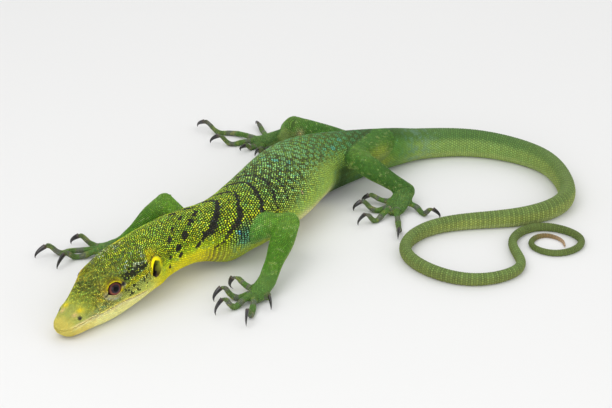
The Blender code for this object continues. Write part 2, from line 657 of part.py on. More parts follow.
def build_digit(owner, number, joints):
    """One digit, returned for its palm, and its claw, which stays a node of its own."""
    points = np.array(joints[:-1]) - (0.0, 0.0, PAD_SINK)
    tip = np.array(joints[-1])
    heading = tip - points[0]
    across = unit(np.cross((heading[0], heading[1], 0.0), (0.0, 0.0, 1.0)))
    curve, length = natural_curve(points)
    distance = between(0.0, length - GAP, DIGIT_STEP)
    places, tangents, sides, ups = digit_frames(curve, distance, across)
    share = distance / length
    radius = eased((0.0, 0.35, 1.0), DIGIT_RADII, share)
    low = np.maximum(0.0, 1 - np.abs(places[:, 2] - 0.0017) / 0.0010)
    radius = radius + PAD_SWELL * low
    rings = round_rings(places, sides, ups, radius, radius, DIGIT_SIDES, turn=0.0)
    digit = skinned("digit", rings, GREEN)
    build_claw(f"claw_{owner}_{number}", places[-1], tangents[-1], across, tip)
    return digit


def build_claw(name, root, heading, across, tip):
    """A claw: a hook flattened from side to side, arched over and ending in a point."""
    start = root + heading * GAP
    top = (start + tip) / 2 + unit(heading + np.array((0.0, 0.0, 0.35))) * CLAW_ARCH
    share = np.linspace(0.0, 1.0, 5)[:, None]
    places = start * (1 - share) ** 2 + 2 * top * share * (1 - share) + tip * share**2
    tangents = unit(2 * (1 - share) * (top - start) + 2 * share * (tip - top))
    tangents[0] = heading
    sides = unit(across - tangents * (tangents @ across)[:, None])
    ups = np.cross(sides, tangents)
    taper = 1 - 0.86 * share[:, 0] ** 1.2
    rings = round_rings(places, sides, ups, CLAW_HALF[0] * taper, CLAW_HALF[1] * taper, CLAW_SIDES)
    skinned(name, rings, CLAW_BLACK)


def build_legs():
    """All four legs."""
    cutter = trunk_cutter()
    for name in LEGS:
        build_leg(name, cutter)
    bpy.data.objects.remove(cutter)


def stand_on_origin():
    """Shades every part, and parents it to an empty that brings the box's middle to zero."""
    things = [thing for thing in bpy.data.objects if thing.type == "MESH"]
    corners = np.array([v.co for thing in things for v in thing.data.vertices])
    low, high = corners.min(0), corners.max(0)
    base = bpy.data.objects.new("monitor", None)
    bpy.context.scene.collection.objects.link(base)
    base.location = Vector((-(low[0] + high[0]) / 2, -(low[1] + high[1]) / 2, -low[2]))
    for thing in things:
        thing.parent = base
        thing.data.shade_smooth()
        thing.data.set_sharp_from_angle(angle=math.radians(SHARP_DEGREES))


def main():
    """Clears the scene and builds the animal."""
    for thing in list(bpy.data.objects):
        bpy.data.objects.remove(thing)
    build_head()
    build_trunk()
    build_tail()
    build_legs()
    stand_on_origin()


main()
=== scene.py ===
"""Looks of a still, life-size emerald tree monitor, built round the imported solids.

Metres, +Z up. The skin is one closed surface: the body is swept along the spine with a grid that
follows the line of the mouth, the legs and digits are tubes along their bones, and all are fused
and filleted. Every scale is a small closed dome seated on that skin. Skin and scales take their
colours from the same markings, which are functions of the place on the body.
"""

import logging
import math
from dataclasses import dataclass
from enum import Enum
from typing import Iterable, Sequence

import bpy
import numpy as np
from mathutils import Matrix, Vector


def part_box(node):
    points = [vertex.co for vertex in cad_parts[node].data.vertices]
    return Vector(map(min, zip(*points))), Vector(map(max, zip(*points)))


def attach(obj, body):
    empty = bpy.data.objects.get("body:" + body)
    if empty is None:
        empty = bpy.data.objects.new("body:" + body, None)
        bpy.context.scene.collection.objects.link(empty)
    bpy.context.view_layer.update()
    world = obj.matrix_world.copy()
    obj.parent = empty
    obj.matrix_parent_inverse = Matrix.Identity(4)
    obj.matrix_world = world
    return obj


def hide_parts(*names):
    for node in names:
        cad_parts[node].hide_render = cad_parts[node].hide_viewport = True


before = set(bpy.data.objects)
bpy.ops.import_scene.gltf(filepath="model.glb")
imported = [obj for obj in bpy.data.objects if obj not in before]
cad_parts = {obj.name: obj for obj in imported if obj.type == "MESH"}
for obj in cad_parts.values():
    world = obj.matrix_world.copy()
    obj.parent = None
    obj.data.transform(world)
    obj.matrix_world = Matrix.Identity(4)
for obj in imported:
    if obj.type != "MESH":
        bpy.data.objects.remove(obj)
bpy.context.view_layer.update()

Array = np.ndarray
log = logging.getLogger("monitor")
MM = 0.001
UP = np.array((0.0, 0.0, 1.0))


def tenths(value: float | tuple) -> float | tuple:
    """Returns a size, or nested rows of sizes, given in tenths of a millimetre, as metres."""
    return tuple(map(tenths, value)) if isinstance(value, tuple) else value / 10000


def unit(vectors: Array) -> Array:
    """Returns the vectors at length 1, one to a row."""
    vectors = np.asarray(vectors, float)
    return vectors / np.maximum(np.linalg.norm(vectors, axis=-1, keepdims=True), 1e-12)


def step(low: float, high: float, at: Array) -> Array:
    """Returns 0 below low, 1 above high, and 3t^2 - 2t^3 between them."""
    t = np.clip((np.asarray(at, float) - low) / (high - low), 0.0, 1.0)
    return t * t * (3 - 2 * t)


def hump(at: Array, middle: float, width: float) -> Array:
    """Returns the bell exp(-((x - middle) / width)^2)."""
    return np.exp(-(((at - middle) / width) ** 2))


def sector(angle: Array, middle: float, width: float) -> Array:
    """Returns the same bell in an angle that wraps round."""
    return hump(np.angle(np.exp(1j * (angle - middle))), 0.0, width)


def mix(first: Array, second: Array, share: Array) -> Array:
    """Returns colours between first and second, by a share for each row."""
    share = np.clip(np.asarray(share, float), 0.0, 1.0)[..., None]
    return np.asarray(first) * (1 - share) + np.asarray(second) * share


def eased(knots: Sequence[float], values: Sequence[float], at: Array) -> Array:
    """Reads monotone cubics through the knots, which never overshoot.

    Args:
        knots: rising distances.
        values: the value at each knot.
        at: the distances that are read.

    Returns:
        The values there, held level beyond the ends.
    """
    knots, values, at = (np.asarray(x, float) for x in (knots, values, at))
    gaps = np.diff(knots)
    slopes = np.diff(values) / gaps
    tangents = np.empty_like(values)
    tangents[0], tangents[-1] = slopes[0], slopes[-1]
    before, after = slopes[:-1], slopes[1:]
    turning = before * after <= 0
    total = np.where(turning, 1.0, before + after)
    tangents[1:-1] = np.where(turning, 0.0, 2 * before * after / total)
    i = np.clip(np.searchsorted(knots, at, side="right") - 1, 0, len(knots) - 2)
    t = np.clip((at - knots[i]) / gaps[i], 0.0, 1.0)
    first, last = tangents[i] * gaps[i], tangents[i + 1] * gaps[i]
    return (values[i] * (1 + 2 * t) * (1 - t) ** 2 + first * t * (1 - t) ** 2
            + values[i + 1] * t * t * (3 - 2 * t) + last * t * t * (t - 1))


def noise(points: Array, size: float, seed: int) -> Array:
    """Smooth noise from 0 to 1: hashed values on a cubic lattice, blended between its corners.

    Args:
        points: places, one to a row.
        size: the lattice's spacing.
        seed: which noise.

    Returns:
        One value for each place.
    """
    cell = np.asarray(points, float) / size
    base = np.floor(cell).astype(np.int64)
    t = cell - base
    t = t * t * (3 - 2 * t)
    total = np.zeros(len(cell))
    for corner in np.ndindex(2, 2, 2):
        key = (base + corner) * np.array((73856093, 19349663, 83492791))
        mixed = (key[:, 0] ^ key[:, 1] ^ key[:, 2]) + seed * 2654435761
        mixed = (mixed ^ (mixed >> 13)) * 1274126177
        value = ((mixed ^ (mixed >> 16)) & 0xFFFF) / 0xFFFF
        total += value * np.prod(np.where(corner, t, 1 - t), axis=1)
    return total


class Curve:
    """A smooth natural cubic curve through points, read by the distance along its chords."""

    def __init__(self, points: Array) -> None:
        """Solves for the second derivatives at the points, zero at both ends."""
        self.points = np.asarray(points, float)
        chords = np.linalg.norm(np.diff(self.points, axis=0), axis=1)
        self.knots = np.concatenate([[0.0], np.cumsum(chords)])
        self.gaps = np.diff(self.knots)
        self.length = float(self.knots[-1])
        count, gaps = len(self.points), self.gaps
        system, right = np.eye(count), np.zeros((count, 3))
        rise = np.diff(self.points, axis=0) / gaps[:, None]
        for i in range(1, count - 1):
            system[i, i - 1: i + 2] = gaps[i - 1], 2 * (gaps[i - 1] + gaps[i]), gaps[i]
            right[i] = 6 * (rise[i] - rise[i - 1])
        self.bends = np.linalg.solve(system, right)

    def at(self, distance: Array) -> Array:
        """Returns the places at these distances, held at the curve's ends."""
        distance = np.clip(distance, 0.0, self.length)
        i = np.clip(np.searchsorted(self.knots, distance, side="right") - 1, 0, len(self.gaps) - 1)
        gap = self.gaps[i][:, None]
        a = (self.knots[i + 1] - distance)[:, None]
        b = (distance - self.knots[i])[:, None]
        return (self.bends[i] * a**3 / (6 * gap) + self.bends[i + 1] * b**3 / (6 * gap)
                + (self.points[i] / gap - self.bends[i] * gap / 6) * a
                + (self.points[i + 1] / gap - self.bends[i + 1] * gap / 6) * b)

    def tangents(self, distance: Array) -> Array:
        """Returns the unit tangents at these distances, from places a little before and after."""
        ahead = 0.0004
        return unit(self.at(distance + ahead) - self.at(distance - ahead))


def between(start: float, end: float, spacing: float) -> Array:
    """Returns even distances from start to end, at most this spacing apart."""
    return np.linspace(start, end, max(2, math.ceil((end - start) / spacing) + 1))


def new_object(name: str, points: Array, faces: Iterable[Array]) -> bpy.types.Object:
    """Makes a smooth-shaded mesh object from whole arrays.

    Args:
        name: the object's name.
        points: vertices, one to a row.
        faces: arrays of corners, each array with faces of one size.

    Returns:
        The linked object.
    """
    faces = [np.asarray(f, np.int32) for f in faces]
    corners = np.concatenate([f.ravel() for f in faces])
    sizes = np.concatenate([np.full(len(f), f.shape[1]) for f in faces])
    mesh = bpy.data.meshes.new(name)
    mesh.vertices.add(len(points))
    mesh.loops.add(len(corners))
    mesh.polygons.add(len(sizes))
    mesh.vertices.foreach_set("co", np.asarray(points, np.float32).ravel())
    mesh.loops.foreach_set("vertex_index", corners)
    mesh.polygons.foreach_set("loop_start", (np.cumsum(sizes) - sizes).astype(np.int32))
    mesh.update(calc_edges=True)
    mesh.validate()
    mesh.shade_smooth()
    thing = bpy.data.objects.new(name, mesh)
    bpy.context.scene.collection.objects.link(thing)
    return thing


def read(items: bpy.types.bpy_prop_collection, key: str, width: int, kind: type) -> Array:
    """Returns one field of a mesh's elements, one element to a row."""
    flat = np.empty(len(items) * width, kind)
    items.foreach_get(key, flat)
    return flat.reshape(-1, width) if width > 1 else flat


def read_points(mesh: bpy.types.Mesh) -> Array:
    """Returns the mesh's vertices, one to a row."""
    return read(mesh.vertices, "co", 3, np.float32).astype(float)


def tube(name: str, segments: Sequence[Array], caps: Sequence[Array]) -> bpy.types.Object:
    """A closed tube from rings of points, whose number of sides may halve along the way.

    Each segment is a grid of rings by sides. A side's two corners on a ring join the same two on
    the next ring, and where the sides halve, three edges of the finer ring meet two of the other.

    Args:
        name: the object's name.
        segments: ring grids, each with as many sides as the last or half as many.
        caps: the two pole points that close the ends.

    Returns:
        The tube as an object with faces turned outwards.
    """
    quads, triangles, base = [], [], 0
    starts = []
    for rings in segments:
        count, sides = rings.shape[:2]
        starts.append(base)
        grid = base + np.arange(count * sides).reshape(count, sides)
        turned = np.roll(grid, -1, axis=1)
        quads.append(np.stack([grid[:-1], turned[:-1], turned[1:], grid[1:]], -1).reshape(-1, 4))
        base += count * sides
    for i in range(len(segments) - 1):
        fine_sides, sides = segments[i].shape[1], segments[i + 1].shape[1]
        fine = starts[i + 1] - fine_sides + np.arange(fine_sides)
        coarse = starts[i + 1] + np.arange(sides)
        after = np.roll(coarse, -1)
        a, b, c = fine[::2], fine[1::2], np.roll(fine, -2)[::2]
        triangles += [np.stack(t, 1) for t in ((a, b, coarse), (b, after, coarse), (b, c, after))]
    first = np.arange(segments[0].shape[1])
    sides = segments[-1].shape[1]
    last = base - sides + np.arange(sides)
    triangles.append(np.stack([np.roll(first, -1), first, np.full_like(first, base)], 1))
    triangles.append(np.stack([last, np.roll(last, -1), np.full_like(last, base + 1)], 1))
    points = np.concatenate([r.reshape(-1, 3) for r in segments] + [np.asarray(caps)])
    faces = [np.concatenate(quads), np.concatenate(triangles)]
    if signed_volume(points, faces[1]) + signed_volume(points, faces[0][:, :3]) \
            + signed_volume(points, faces[0][:, [0, 2, 3]]) < 0:
        faces = [f[:, ::-1] for f in faces]
    return new_object(name, points, faces)


def signed_volume(points: Array, triangles: Array) -> float:
    """Returns the volume that the triangles enclose with the origin, positive facing out."""
    a, b, c = (points[triangles[:, k]] for k in range(3))
    return float(np.einsum("ij,ij->i", a, np.cross(b, c)).sum() / 6)


def ball(name: str, centre: Array, axes: Array, sizes: Sequence[float], rings: int,
         sides: int) -> bpy.types.Object:
    """An ellipsoid: unit sphere points times half sizes along three axes, about a centre."""
    polar = np.linspace(0, math.pi, rings + 2)[1:-1, None]
    turn = np.arange(sides)[None, :] * 2 * math.pi / sides
    shape = np.stack([np.sin(polar) * np.cos(turn), np.sin(polar) * np.sin(turn),
                      np.cos(polar) + 0 * turn], -1)
    matrix = np.asarray(axes) * np.asarray(sizes)[:, None]
    return tube(name, [centre + shape @ matrix], [centre + matrix[2], centre - matrix[2]])


def fuse(target: bpy.types.Object, operation: str, others: Sequence[bpy.types.Object]) -> None:
    """Applies one Boolean of closed meshes to the target, and removes them.

    Args:
        target: the object that keeps the result.
        operation: UNION or DIFFERENCE.
        others: the meshes that join it or are cut from it.
    """
    group = bpy.data.collections.new(target.name + "_pieces")
    bpy.context.scene.collection.children.link(group)
    for other in others:
        bpy.context.scene.collection.objects.unlink(other)
        group.objects.link(other)
    modifier = target.modifiers.new("fuse", "BOOLEAN")
    modifier.operation = operation
    modifier.operand_type = "COLLECTION"
    modifier.collection = group
    modifier.solver = "MANIFOLD"
    bpy.context.view_layer.update()
    graph = bpy.context.evaluated_depsgraph_get()
    made = bpy.data.meshes.new_from_object(target.evaluated_get(graph))
    target.modifiers.clear()
    target.data = made
    for other in others:
        bpy.data.objects.remove(other)
    bpy.data.collections.remove(group)


@dataclass(frozen=True)
class Plan:
    """The animal's layout, on a plan whose place in the frame comes from the left eye's solid."""

    snout: tuple = tenths((-1058, -1332, 45))
    ear_level: tuple = tenths((-758, -905, 150))
    neck_and_trunk: tuple = tenths((
        (-675, -800, 162), (-560, -692, 170), (-410, -592, 168), (-272, -424, 172),
        (-125, -127, 168), (-8, 100, 160), (154, 254, 143), (327, 390, 123), (469, 487, 105)))
    tail: tuple = tenths((
        (619, 575), (897, 610), (1108, 538), (1266, 398), (1337, 166), (1299, -78), (1113, -219),
        (860, -268), (606, -347), (473, -557), (617, -795), (797, -846), (1002, -708), (998, -458),
        (1172, -296), (1334, -436), (1184, -562), (1088, -464), (1170, -370), (1252, -440),
        (1240, -506)))
    sink: float = 0.00035
    eye: tuple = (0.0281, 0.0072, 0.0048)

    def axes(self) -> tuple[Array, Array, Array]:
        """Returns the head's own axes: back along it, out to the left, and up."""
        back = unit(np.subtract(self.ear_level, self.snout))
        left = unit(np.cross(back, UP))
        return back, left, np.cross(left, back)

    def on_head(self, along: float, out: float, up: float) -> Array:
        """Returns a plan place given from the snout in the head's own axes."""
        back, left, top = self.axes()
        return np.asarray(self.snout) + back * along + left * out + top * up

    def shift(self) -> Array:
        """Returns the step from the plan to the frame, from where the left eye's solid is."""
        low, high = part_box("eye_left")
        middle = (np.array(low) + np.array(high)) / 2
        offset = middle - self.on_head(*self.eye)
        return np.array((offset[0], offset[1], 0.0))


PLAN = Plan()
SHIFT = PLAN.shift()
BACK, LEFT, TOP = PLAN.axes()


def on_head(along: float, out: float, up: float) -> Array:
    """Returns a place in the frame, given from the snout in the head's own axes."""
    return PLAN.on_head(along, out, up) + SHIFT


@dataclass(frozen=True)
class Mouth:
    """The line of the mouth, its lips and the groove between them."""

    line: tuple = ((-0.0040, 0.0004), (0.0030, 0.0006), (0.0080, 0.0008), (0.0140, 0.0002),
                   (0.0200, -0.0006), (0.0280, -0.0010), (0.0360, -0.0022), (0.0440, -0.0036))
    corner: float = 0.0425
    groove_depth: float = 0.00042
    groove_width: float = 0.00022
    lip_height: float = 0.00016

    def level(self, along: Array) -> Array:
        """Returns the line's height above the head's axis, level beyond the corner."""
        knots = np.array(self.line)
        return eased(knots[:, 0], knots[:, 1], along)

    def relief(self, along: Array, above: Array) -> Array:
        """Lips and groove: a bell each side of the line, less a narrow bell on it.

        Args:
            along: distance from the snout.
            above: height above the line.

        Returns:
            How far the skin stands out.
        """
        fade = 1 - step(self.corner - 0.0030, self.corner, along)
        groove = self.groove_depth * hump(above, 0.0, self.groove_width)
        lips = self.lip_height * hump(np.abs(above), 0.0008, 0.00055)
        return fade * (lips - groove)


MOUTH = Mouth()


@dataclass(frozen=True)
class Body:
    """Head, neck, trunk and tail, swept along the spine."""

    # Distance from the snout, half width, rise above and drop below the spine, in tenths of a
    # millimetre, and ten times the squareness.
    sections: tuple = (
        (0, 10, 10, 10, 20), (8, 30, 24, 26, 21), (30, 51, 37, 44, 24), (70, 66, 48, 58, 26),
        (120, 78, 58, 68, 27), (200, 100, 80, 88, 28), (285, 115, 99, 104, 29),
        (380, 132, 105, 110, 27), (480, 141, 110, 114, 24), (560, 139, 115, 117, 23),
        (640, 135, 119, 121, 22), (720, 131, 122, 124, 21), (800, 130, 124, 127, 21),
        (900, 137, 128, 132, 20), (1040, 160, 142, 149, 20), (1220, 184, 156, 163, 20),
        (1400, 199, 164, 174, 20), (1560, 207, 168, 178, 20), (1720, 200, 164, 175, 20),
        (1880, 180, 152, 162, 20), (2050, 152, 138, 144, 20), (2250, 115, 120, 124, 20),
        (2420, 91, 105, 107, 20), (2600, 73, 88, 87, 20), (2870, 59, 80, 78, 20),
        (3310, 50, 68, 67, 20), (3820, 43, 56, 56, 20), (4310, 35, 44, 44, 20),
        (4830, 29, 37, 37, 20), (5300, 25, 31, 31, 20), (5800, 21, 25, 25, 20),
        (6260, 17, 19, 19, 20), (6560, 14, 15, 15, 20), (6765, 9, 10, 10, 20), (6835, 4, 5, 5, 20))
    # Swellings of the head: distance, degrees up from the side, height and reach along in tenths
    # of a millimetre, and reach round in degrees.
    swellings: tuple = (
        (285, 46, 9, 65, 15), (285, 16, -7, 50, 16), (190, 14, -10, 50, 20), (100, 30, 6, 28, 22),
        (430, -20, 6, 70, 22), (430, 32, 5, 70, 20), (600, -5, -6, 50, 30))
    # Finer forms that only the skin carries: temples, brows and the angle of the jaw.
    fine_swellings: tuple = (
        (400, 48, 9, 85, 26), (275, 62, 17, 85, 16), (545, -28, 10, 60, 24), (350, -6, 4, 70, 14),
        (150, 48, 3, 60, 9), (12, -30, 6, 30, 50), (985, -55, 22, 75, 32))
    upper_sides: int = 84
    lower_sides: int = 60
    pinch: float = 0.62

    def spine(self) -> Curve:
        """Returns the middle line in the frame, each tail point at the height where it lies."""
        middle = tuple((a + b) / 2 for a, b in zip(PLAN.snout, PLAN.ear_level))
        points = [PLAN.snout, middle, PLAN.ear_level, *PLAN.neck_and_trunk]
        run = sum(math.dist(a, b) for a, b in zip(points[:-1], points[1:]))
        last = points[-1]
        for x, y in PLAN.tail:
            run += math.dist(last[:2], (x, y))
            last = (x, y, float(self.sizes(np.array([run]))[2][0]) - PLAN.sink)
            points.append(last)
        return Curve(np.array(points) + SHIFT)

    def sizes(self, distance: Array) -> list[Array]:
        """Returns half width, rise, drop and squareness at these distances."""
        table = np.array(self.sections) / (10000, 10000, 10000, 10000, 10)
        return [eased(table[:, 0], table[:, k], distance) for k in range(1, 5)]

    def frames(self, distance: Array) -> tuple[Array, Array, Array, Array]:
        """Returns places, tangents, level sides to the animal's left, and ups, along the spine."""
        places, tangents = SPINE.at(distance), SPINE.tangents(distance)
        sides = unit(np.cross(tangents, UP))
        return places, tangents, sides, np.cross(sides, tangents)

    def mouth_angle(self, distance: Array) -> Array:
        """Returns the angle of the mouth's line on each ring, fading to the side behind the jaw."""
        places = self.frames(distance)[0]
        from_snout = places - on_head(0, 0, 0)
        _, rise, drop, square = self.sizes(distance)
        level = MOUTH.level(from_snout @ BACK) - from_snout @ TOP
        level = level * (1 - step(0.044, 0.075, distance))
        share = np.abs(level) / np.where(level > 0, rise, drop)
        return np.sign(level) * np.arcsin(np.minimum(share ** (square / 2), 0.9))

    def angles(self, distance: Array) -> Array:
        """Angles round each ring, the first on the left lip and closer together at both lips.

        A share u of the way over the back is moved to u - p sin(2 pi u) / (2 pi), and so is a
        share of the way under the throat, where p fades out behind the jaw.

        Args:
            distance: ring distances from the snout.

        Returns:
            A grid of ring by side.
        """
        mouth = self.mouth_angle(distance)[:, None]
        pinch = (self.pinch * (1 - step(0.046, 0.062, distance)))[:, None]
        parts = []
        for count in (self.upper_sides, self.lower_sides):
            u = np.arange(count)[None, :] / count
            parts.append(u - pinch * np.sin(2 * math.pi * u) / (2 * math.pi))
        over = mouth + (math.pi - 2 * mouth) * parts[0]
        under = math.pi - mouth + (math.pi + 2 * mouth) * parts[1]
        return np.concatenate([over, under], axis=1)

    def swelling(self, distance: Array, angle: Array) -> Array:
        """Sum of bells in distance and in angle up from the side, alike on both sides."""
        degrees = np.degrees(np.arctan2(np.sin(angle), np.abs(np.cos(angle))))
        total = np.zeros(angle.shape)
        table = np.array(self.swellings + self.fine_swellings) / (10000, 1, 10000, 10000, 1)
        for at, middle, height, along, reach in table:
            total += height * hump(distance, at, along) * hump(degrees, middle, reach)
        return total

    def relief(self, distance: Array, angle: Array, above: Array) -> Array:
        """Fine forms on top of the sections: lips, throat pleats and folds of the flanks.

        Args:
            distance: distance from the snout.
            angle: angle round, from the animal's left.
            above: height above the line of the mouth.

        Returns:
            How far the skin stands out.
        """
        degrees = np.degrees(np.arctan2(np.sin(angle), np.abs(np.cos(angle))))
        low = step(10.0, -25.0, degrees) * hump(distance, 0.092, 0.0085)
        pleats = 0.00022 * np.sin(2 * math.pi * (distance + 0.0012 * np.sin(angle)) / 0.0021)
        sides = hump(degrees, 0.0, 42.0) * hump(distance, 0.083, 0.016)
        folds = 0.00030 * np.sin(2 * math.pi * (distance + 0.0030 * np.sin(angle * 2)) / 0.0064)
        groin = 0.00025 * np.sin(2 * math.pi * (distance + 0.0040 * np.sin(angle)) / 0.0052) \
            * hump(degrees, -14.0, 26.0) * hump(distance, 0.196, 0.013)
        return MOUTH.relief(distance, above) + low * pleats + sides * folds + groin

    def shell(self, distance: Array, angle: Array) -> tuple[Array, Array]:
        """A superellipse on each ring, with the swellings.

        A point is the ring's place plus |cos|^(2/n) of the half width to the side and |sin|^(2/n)
        of the rise or drop upwards, moved out along the ring by the swellings.

        Args:
            distance: one distance for each ring.
            angle: a grid of ring by side.

        Returns:
            The grid of points, and their heights above the spine.
        """
        places, _, sides, ups = self.frames(distance)
        width, rise, drop, square = (x[:, None] for x in self.sizes(distance))
        cos, sin = np.cos(angle), np.sin(angle)
        out = self.swelling(distance[:, None], angle)
        across = np.sign(cos) * np.abs(cos) ** (2 / square) * width + cos * out
        upward = np.sign(sin) * np.abs(sin) ** (2 / square) * np.where(sin > 0, rise, drop) \
            + sin * out
        points = (places[:, None] + across[..., None] * sides[:, None]
                  + upward[..., None] * ups[:, None])
        return points, upward

    def surface(self, distance: Array, angle: Array) -> Array:
        """The body's skin: the shell, moved along its own normals by the relief.

        Args:
            distance: one distance for each ring.
            angle: a grid of ring by side.

        Returns:
            A grid of points.
        """
        points, upward = self.shell(distance, angle)
        places = self.frames(distance)[0]
        along = np.gradient(points, axis=0)
        round_ = np.roll(points, -1, axis=1) - np.roll(points, 1, axis=1)
        normals = unit(np.cross(round_, along))
        outward = np.sum(normals * (points - places[:, None]), axis=-1, keepdims=True)
        normals = normals * np.sign(outward)
        mouth = MOUTH.level((places - on_head(0, 0, 0)) @ BACK) \
            - (places - on_head(0, 0, 0)) @ TOP
        relief = self.relief(distance[:, None] + 0 * angle, angle, upward - mouth[:, None])
        return points + normals * relief[..., None]

    def build(self) -> bpy.types.Object:
        """Returns the swept body, finest on the head, with half the sides on the tail."""
        blunt = np.array([0.0, 0.15, 0.35, 0.6, 0.9, 1.3, 1.75, 2.2, 2.7]) * MM
        stops = [np.concatenate([blunt, between(0.0031, 0.0600, 0.00042),
                                 between(0.0608, 0.0900, 0.0008),
                                 between(0.0911, 0.2500, 0.0011)]),
                 between(0.2514, 0.4500, 0.0014), between(0.4513, SPINE.length, 0.0016)]
        rings = [self.surface(distance, self.angles(distance)[:, ::2 ** number])
                 for number, distance in enumerate(stops)]
        tip = SPINE.at(np.array([SPINE.length]))[0]
        caps = [on_head(-0.00025, 0, 0), tip + 0.0003 * SPINE.tangents(stops[2][-1:])[0]]
        return tube("skin", rings, caps)


BODY = Body()
SPINE = BODY.spine()


def round_rings(places: Array, sides: Array, ups: Array, wide: Array, high: Array,
                count: int) -> Array:
    """Rings of points on ellipses: cos times the half width aside and sin times the height up."""
    angle = np.arange(count)[None, :] * 2 * math.pi / count
    across = np.cos(angle) * np.asarray(wide)[:, None]
    upward = np.sin(angle) * np.asarray(high)[:, None]
    return (places[:, None] + across[..., None] * sides[:, None]
            + upward[..., None] * ups[:, None])


@dataclass(frozen=True)
class Eye:
    """One eye: the ball, the swelling of flesh round it, its lids and the fold of the brow."""

    side: int
    place: tuple = (0.0284, 0.0075, 0.0062)
    radius: float = 0.0039
    turn: float = 20.0
    tilt: float = 15.0
    opening: tuple = (0.0034, 0.0030)
    corner: float = 0.20
    corner_turn: float = 197.0
    orbit: tuple = (0.00075, 0.00040, 0.00050)
    pupil: float = 0.27

    @property
    def word(self) -> str:
        """Returns which side of the animal."""
        return "left" if self.side > 0 else "right"

    def centre(self) -> Array:
        """Returns the eyeball's middle."""
        along, out, up = self.place
        return on_head(along, self.side * out, up)

    def axes(self) -> Array:
        """Returns rows back along the lids, up across them, and out of the eye."""
        turn, tilt = math.radians(self.turn), math.radians(self.tilt)
        level = LEFT * self.side * math.cos(turn) - BACK * math.sin(turn)
        long_way = BACK * math.cos(turn) + LEFT * self.side * math.sin(turn)
        high_way = TOP * math.cos(tilt) - level * math.sin(tilt)
        return np.array([long_way, high_way, level * math.cos(tilt) + TOP * math.sin(tilt)])

    def outline(self, angle: Array) -> Array:
        """The lids' opening at an angle from the rear: an ellipse drawn out to a front corner.

        Args:
            angle: angles up from the way back.

        Returns:
            Distances back and up from the middle, one to a row.
        """
        front = sector(angle, math.radians(self.corner_turn), 0.30)
        reach = 1 + self.corner * front + 0.07 * sector(angle, 0.10, 0.35)
        return np.stack([np.cos(angle) * self.opening[0] * reach,
                         np.sin(angle) * self.opening[1] * reach], -1)

    def zone(self, points: Array) -> tuple[Array, Array, Array]:
        """Where points lie about the opening.

        Args:
            points: places, one to a row.

        Returns:
            Distance outside the opening's edge, angle round it, and height out of the eye.
        """
        off = (points - self.centre()) @ self.axes().T
        angle = np.arctan2(off[:, 1] / self.opening[1], off[:, 0] / self.opening[0])
        edge = np.linalg.norm(self.outline(angle), axis=1)
        return np.hypot(off[:, 0], off[:, 1]) - edge, angle, off[:, 2]

    def build_orbit(self) -> bpy.types.Object:
        """Returns the swelling of flesh round the eyeball."""
        sizes = [self.radius + more for more in self.orbit]
        return ball("orbit_" + self.word, self.centre(), self.axes(), sizes, 60, 72)

    def band(self, name: str, angle: Array, span: float, over: float, radius: Array,
             closed: bool) -> bpy.types.Object:
        """A raised band that runs round the opening on the swelling of the eye.

        At angle a its middle lies a span outside the opening, at the depth where a ball a little
        larger than the eyeball passes under it. Its section is a circle.

        Args:
            name: the object's name.
            angle: angles along the band.
            span: distance outside the opening.
            over: how much larger the ball is.
            radius: the band's radius at each angle.
            closed: whether the band runs all round.

        Returns:
            The band as an object.
        """
        flat = self.outline(angle)
        reach = np.linalg.norm(flat, axis=1)
        aside = flat / reach[:, None]
        reach = reach + span
        ball_radius = self.radius + over
        depth = np.sqrt(np.maximum(ball_radius**2 - reach**2, 0.0009**2))
        long_way, high_way, out = self.axes()
        ways = aside[:, :1] * long_way + aside[:, 1:] * high_way
        middle = self.centre() + ways * reach[:, None] + out * depth[:, None]
        turn = np.arange(16)[None, :, None] * 2 * math.pi / 16
        grid = middle[:, None] + radius[:, None, None] * (np.cos(turn) * ways[:, None]
                                                          + np.sin(turn) * out)
        if closed:
            return ring_object(name, grid)
        return tube(name, [grid], [middle[0], middle[-1]])

    def lids(self) -> list[bpy.types.Object]:
        """Returns the rim of both lids, the brow's fold above and the cheek's fold below."""
        angle = np.arange(108) * 2 * math.pi / 108
        upper = np.maximum(np.sin(angle), 0)
        rim = self.band("rim", angle, 0.00034, 0.00022, 0.00036 + 0.00012 * upper, True)
        share = np.linspace(0, 1, 48)
        swell = np.sin(math.pi * np.clip(share, 0.02, 0.98)) ** 0.5
        brow = self.band("brow", np.radians(168 - 160 * share), 0.00150, 0.00062,
                         0.00052 * swell, False)
        cheek = self.band("cheek", np.radians(200 + 140 * share), 0.00125, 0.00045,
                          0.00034 * swell, False)
        return [rim, brow, cheek]

    def cutters(self) -> list[bpy.types.Object]:
        """Returns the hollow that the eyeball fills and the opening between the lids."""
        socket = ball("socket", self.centre(), self.axes(), [self.radius + 0.00005] * 3, 48, 64)
        flat = self.outline(np.arange(96) * 2 * math.pi / 96)
        long_way, high_way, out = self.axes()
        depth = np.array([0.0013, 0.0022, 0.0032, 0.0042, 0.0060])
        scale = np.array([0.94, 0.99, 1.00, 1.03, 1.12])
        outline = flat[:, :1] * long_way + flat[:, 1:] * high_way
        rings = self.centre() + scale[:, None, None] * outline + depth[:, None, None] * out
        ends = [self.centre() + out * depth[0], self.centre() + out * depth[-1]]
        return [socket, tube("opening", [rings], ends)]

